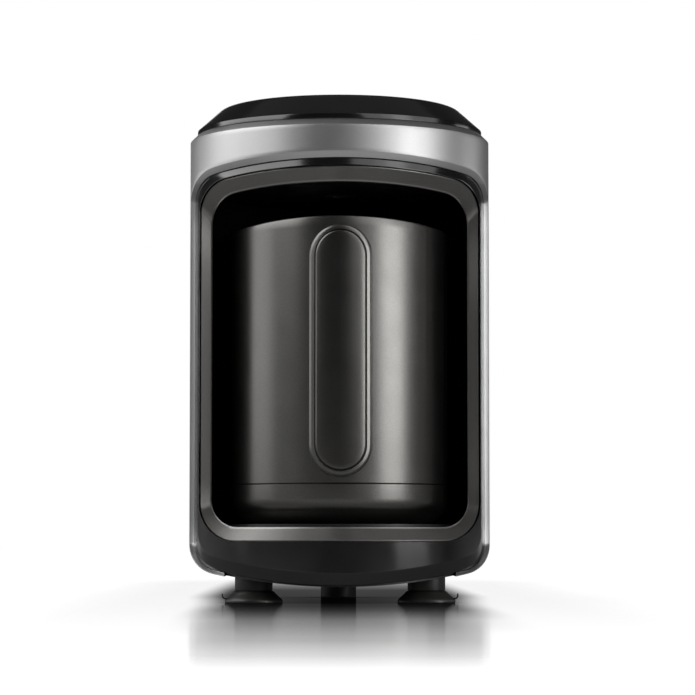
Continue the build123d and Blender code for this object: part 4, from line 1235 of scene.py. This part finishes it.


# %% [markdown]
# The floor is matt paper and polish, mixed. How much there is of each, and how dark the painted
# shadow is, changes with the distance in front of and behind the machine. A ramp over the floor's
# depth, read from its Object coordinates, is the plainest way to say so.

# %% Paper, polish, and a ramp over the floor's depth
floor_finish = new_finish("stage_floor", (0.20, 0.20, 0.20), 0.9, specular=0.0)
tree = floor_finish.node_tree
paper = tree.nodes["Principled BSDF"]
vary(floor_finish, "Roughness", noise_node(floor_finish, 3.0, 2.0), 0.85, 0.95)
polish = tree.nodes.new("ShaderNodeBsdfGlossy")
polish.inputs["Roughness"].default_value = 0.13
place = tree.nodes.new("ShaderNodeTexCoord")
split = tree.nodes.new("ShaderNodeSeparateXYZ")
tree.links.new(place.outputs["Object"], split.inputs["Vector"])


def along_depth(stops):
    """Ramp of grey over the floor's depth; stops are (metres behind the machine's middle, grey)."""
    depth = tree.nodes.new("ShaderNodeMapRange")
    depth.inputs["From Min"].default_value, depth.inputs["From Max"].default_value = -1.0, 1.0
    tree.links.new(split.outputs["Y"], depth.inputs["Value"])
    ramp = tree.nodes.new("ShaderNodeValToRGB")
    while len(ramp.color_ramp.elements) < len(stops):
        ramp.color_ramp.elements.new(0.5)
    for element, (y, grey) in zip(ramp.color_ramp.elements, stops):
        element.position = (y + 1.0) / 2.0
        element.color = (grey, grey, grey, 1.0)
    tree.links.new(depth.outputs["Result"], ramp.inputs["Fac"])
    return ramp.outputs["Color"]


# %% [markdown]
# The shadow is painted: a soft grey strip under the machine and behind it, darkening the floor's
# colour. Wide lamps wash a real one away, so it is painted by its place on the floor. It shows only
# where the floor is seen at a flat angle, which is what the Fresnel node tells, so from above the
# floor is plain.

# %% The long soft painted shadow
sideways = combine("ABSOLUTE", split.outputs["X"], 0.0)
widening = spread_between(split.outputs["Y"], -0.15, 0.15, 0.0, 0.012)
across = spread_between(combine("SUBTRACT", sideways, widening), 0.050, 0.075, 1.0, 0.0)
length = along_depth([(-0.55, 0.0), (-0.37, 0.15), (-0.295, 0.42), (-0.208, 0.76), (-0.13, 0.90),
                      (0.10, 0.95), (0.30, 0.94), (0.46, 0.82), (0.64, 0.60), (0.85, 0.0)])
gloss = tree.nodes.new("ShaderNodeFresnel")
gloss.inputs["IOR"].default_value = 1.5
grazing = spread_between(gloss.outputs["Fac"], 0.45, 0.80)
# cast is the painted shadow: the share of the floor's colour that it darkens here.
cast = combine("MULTIPLY", combine("MULTIPLY", across, length), grazing)

# %% [markdown]
# Two more painted shades darken the floor's colour. Where the machine only mirrors the floor, a
# ramp over depth paints it dim, which keeps the gloss chin black. And within a centimetre of the
# feet the ambient occlusion node paints a contact shade into it, which sets them down firmly.

# %% Paint shade on the mirrored floor, and at the feet
seen = tree.nodes.new("ShaderNodeLightPath").outputs["Is Camera Ray"]
# Painted shade for mirrors and bounces: the floor near the machine is darkened by a ramp over
# depth.
painted_mirror_shade = combine("MULTIPLY", spread_between(seen, 0.0, 1.0, 1.0, 0.0),
                 along_depth([(-1.0, 0.9), (-0.75, 0.8), (-0.55, 0.2), (-0.38, 0.1), (-0.295, 0.3),
                              (-0.208, 0.76), (-0.13, 0.90), (0.20, 0.90), (0.60, 0.3)]))
# What the painted shadow and the painted mirror shade leave of the floor's brightness.
after_painted_shade = combine("ADD", combine("MULTIPLY", combine("MAXIMUM", cast, painted_mirror_shade), -1.0), 1.0)
contact = tree.nodes.new("ShaderNodeAmbientOcclusion")
contact.inputs["Distance"].default_value = 0.012
contact.samples = 8
# All painted shade together: the contact shade from ambient occlusion times what is left above.
shade = combine("MULTIPLY", contact.outputs["AO"], after_painted_shade)

# %% [markdown]
# The polish is strongest under the machine and fades towards the viewer and to both sides. The
# paper glows by itself, at a strength of 1 for the camera, so it is white without any more light
# on the object.

# %% Mix paper and polish
near_middle = spread_between(sideways, 0.10, 0.20, 1.0, 0.0)
polish_share = along_depth([(-0.87, 0.0), (-0.815, 0.07), (-0.722, 0.40), (-0.60, 0.65),
                            (-0.44, 0.80), (-0.30, 0.90), (-0.11, 0.98), (0.60, 0.98),
                            (0.95, 0.0)])
polish_share = combine("MULTIPLY", combine("MULTIPLY", polish_share, grazing), near_middle)
blend = tree.nodes.new("ShaderNodeMixShader")
# Paper glow and polish both take the painted shade as their colour.
for source, target in ((polish_share, blend.inputs["Fac"]),
                       (spread_between(seen, 0.0, 1.0, 0.45, 1.0),
                        paper.inputs["Emission Strength"]),
                       (shade, paper.inputs["Emission Color"]), (shade, polish.inputs["Color"]),
                       (paper.outputs["BSDF"], blend.inputs[1]),
                       (polish.outputs["BSDF"], blend.inputs[2]),
                       (blend.outputs["Shader"], tree.nodes["Material Output"].inputs["Surface"])):
    tree.links.new(source, target)
print("floor nodes:", len(tree.nodes))

# %% [markdown]
# The floor itself is one plane. It runs far behind the machine, so that no edge of it shows, and
# ends in front below the camera.

# %% Lay the floor
floor_width, floor_depth, floor_middle = 12.0, 7.1, 2.45
bpy.ops.mesh.primitive_plane_add(size=1, location=(0.0, floor_middle, 0.0))
floor = bpy.context.object
floor.name = "stage_floor"
floor.scale = (floor_width, floor_depth, 1.0)
bpy.ops.object.transform_apply(location=True, scale=True)
floor.data.materials.append(floor_finish)
floor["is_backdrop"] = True
print("floor ends in front at y =", floor_middle - floor_depth / 2)

# %% [markdown]
# ## The room
# The camera sees a white room. Gloss and metal see that white too, but only low down behind the
# machine, where it gives the rims their thin bright lines. Everywhere else the room is dim, as
# round any product table, so that the softboxes draw the highlights. A white room with no such
# sector would be simpler, but every black moulding would turn grey in it.

# %% White behind the machine, dim in front of it
dim, white = 0.035, 1.0
world = bpy.data.worlds.new("studio")
bpy.context.scene.world = world
world.use_nodes = True
tree = world.node_tree
tree.nodes.clear()
look = tree.nodes.new("ShaderNodeTexCoord")
split = tree.nodes.new("ShaderNodeSeparateXYZ")
tree.links.new(look.outputs["Generated"], split.inputs["Vector"])
aside = combine("MULTIPLY", combine("ABSOLUTE", split.outputs["X"], 0.0), -7.0)
behind = combine("MULTIPLY", spread_between(combine("ADD", aside, split.outputs["Y"]), 0.0, 0.10),
                 spread_between(split.outputs["Z"], 0.30, 0.50, 1.0, 0.0))
path = tree.nodes.new("ShaderNodeLightPath")
mirrored_ray = combine("MAXIMUM", path.outputs["Is Glossy Ray"],
                       path.outputs["Is Transmission Ray"])
whiteness = combine("MAXIMUM", path.outputs["Is Camera Ray"],
                    combine("MULTIPLY", mirrored_ray, behind))
room = tree.nodes.new("ShaderNodeBackground")
room.inputs["Color"].default_value = (1.0, 1.0, 1.0, 1.0)
tree.links.new(spread_between(whiteness, 0.0, 1.0, dim, white), room.inputs["Strength"])
output = tree.nodes.new("ShaderNodeOutputWorld")
tree.links.new(room.outputs["Background"], output.inputs["Surface"])
print("room nodes:", len(tree.nodes))

# %% [markdown]
# ## The softboxes
# Two large softboxes do most of the work: one at the left, for the even glow on the band and the
# pot, and one to the right of the camera with two narrow cores before it, for the bright streak
# that gives the pot its roundness. Low, flat ones light the lower half, one draws the right rim,
# and a weak one overhead fills the room. A gloss surface mirrors a lamp, so the height and width
# of each decide where its image begins and ends.

# %% Softboxes
def area_lamp(name, place, width, tall, watts):
    """Rectangular area lamp that shines straight down."""
    bpy.ops.object.light_add(type="AREA", location=place)
    lamp = bpy.context.object
    lamp.name = name
    lamp.data.shape = "RECTANGLE"
    lamp.data.size, lamp.data.size_y = width, tall
    lamp.data.energy = watts
    return lamp


def softbox(name, bearing, distance, height, width, tall, watts):
    """Upright softbox at a bearing from the front, aimed at the machine."""
    turn = radians(bearing)
    place = Vector((distance * sin(turn), axis_y - distance * cos(turn), height))
    aim = Vector((0.0, axis_y, 0.13)) - place
    lamp = area_lamp(name, place, width, tall, watts)
    lamp.rotation_euler = aim.to_track_quat("-Z", "Y").to_euler()
    print(name, [round(v, 3) for v in place])


for values in (("left_softbox", -78.0, 1.25, 0.97, 2.00, 1.16, 18.6),
               ("left_low_softbox", -106.0, 1.25, 0.22, 1.50, 0.26, 1.8),
               ("right_softbox", 51.0, 1.40, 0.90, 2.0, 1.2, 8.0),
               ("right_core", 46.0, 1.34, 0.80, 0.66, 1.0, 0.8),
               ("right_hot_core", 49.0, 1.32, 0.75, 0.34, 0.9, 0.7),
               ("right_low_softbox", 56.0, 1.30, 0.215, 0.62, 0.29, 3.2),
               ("right_rim_softbox", 115.0, 1.30, 0.30, 0.45, 0.36, 0.7)):
    softbox(*values)
area_lamp("overhead_softbox", (0.0, 0.0, 2.2), 3.0, 3.0, 1.8)

# %% [markdown]
# ## The camera
# A long lens stands a metre and a half in front, close to the table, and looks slightly up. Low
# and long is how small appliances get a tall and calm look, and it hides the top of the lid.

# %% Camera
camera_data = bpy.data.cameras.new("camera")
camera = bpy.data.objects.new("camera", camera_data)
bpy.context.scene.collection.objects.link(camera)
camera_data.sensor_width = 36.0
camera_data.lens = 150.7
camera_data.clip_start, camera_data.clip_end = 0.05, 30.0
camera.location = (-0.0103, -1.5415, 0.033)
look_up, turn_aside = 3.742, -0.5417
camera.rotation_euler = (radians(90.0 + look_up), 0.0, radians(turn_aside))
bpy.context.scene.camera = camera
bpy.context.scene.view_settings.view_transform = "Standard"
print("lens (mm):", round(camera_data.lens, 1))

# %% [markdown]
# ## The box of the scene
# The pieces made here are meant to fill the same box as the frame's solids, no more and no less.
# Here the box of all shown pieces is printed.

# %% Print the box of the scene
low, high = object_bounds()
print("scene box (mm):", [round(1000 * v, 2) for v in (*low, *high)])
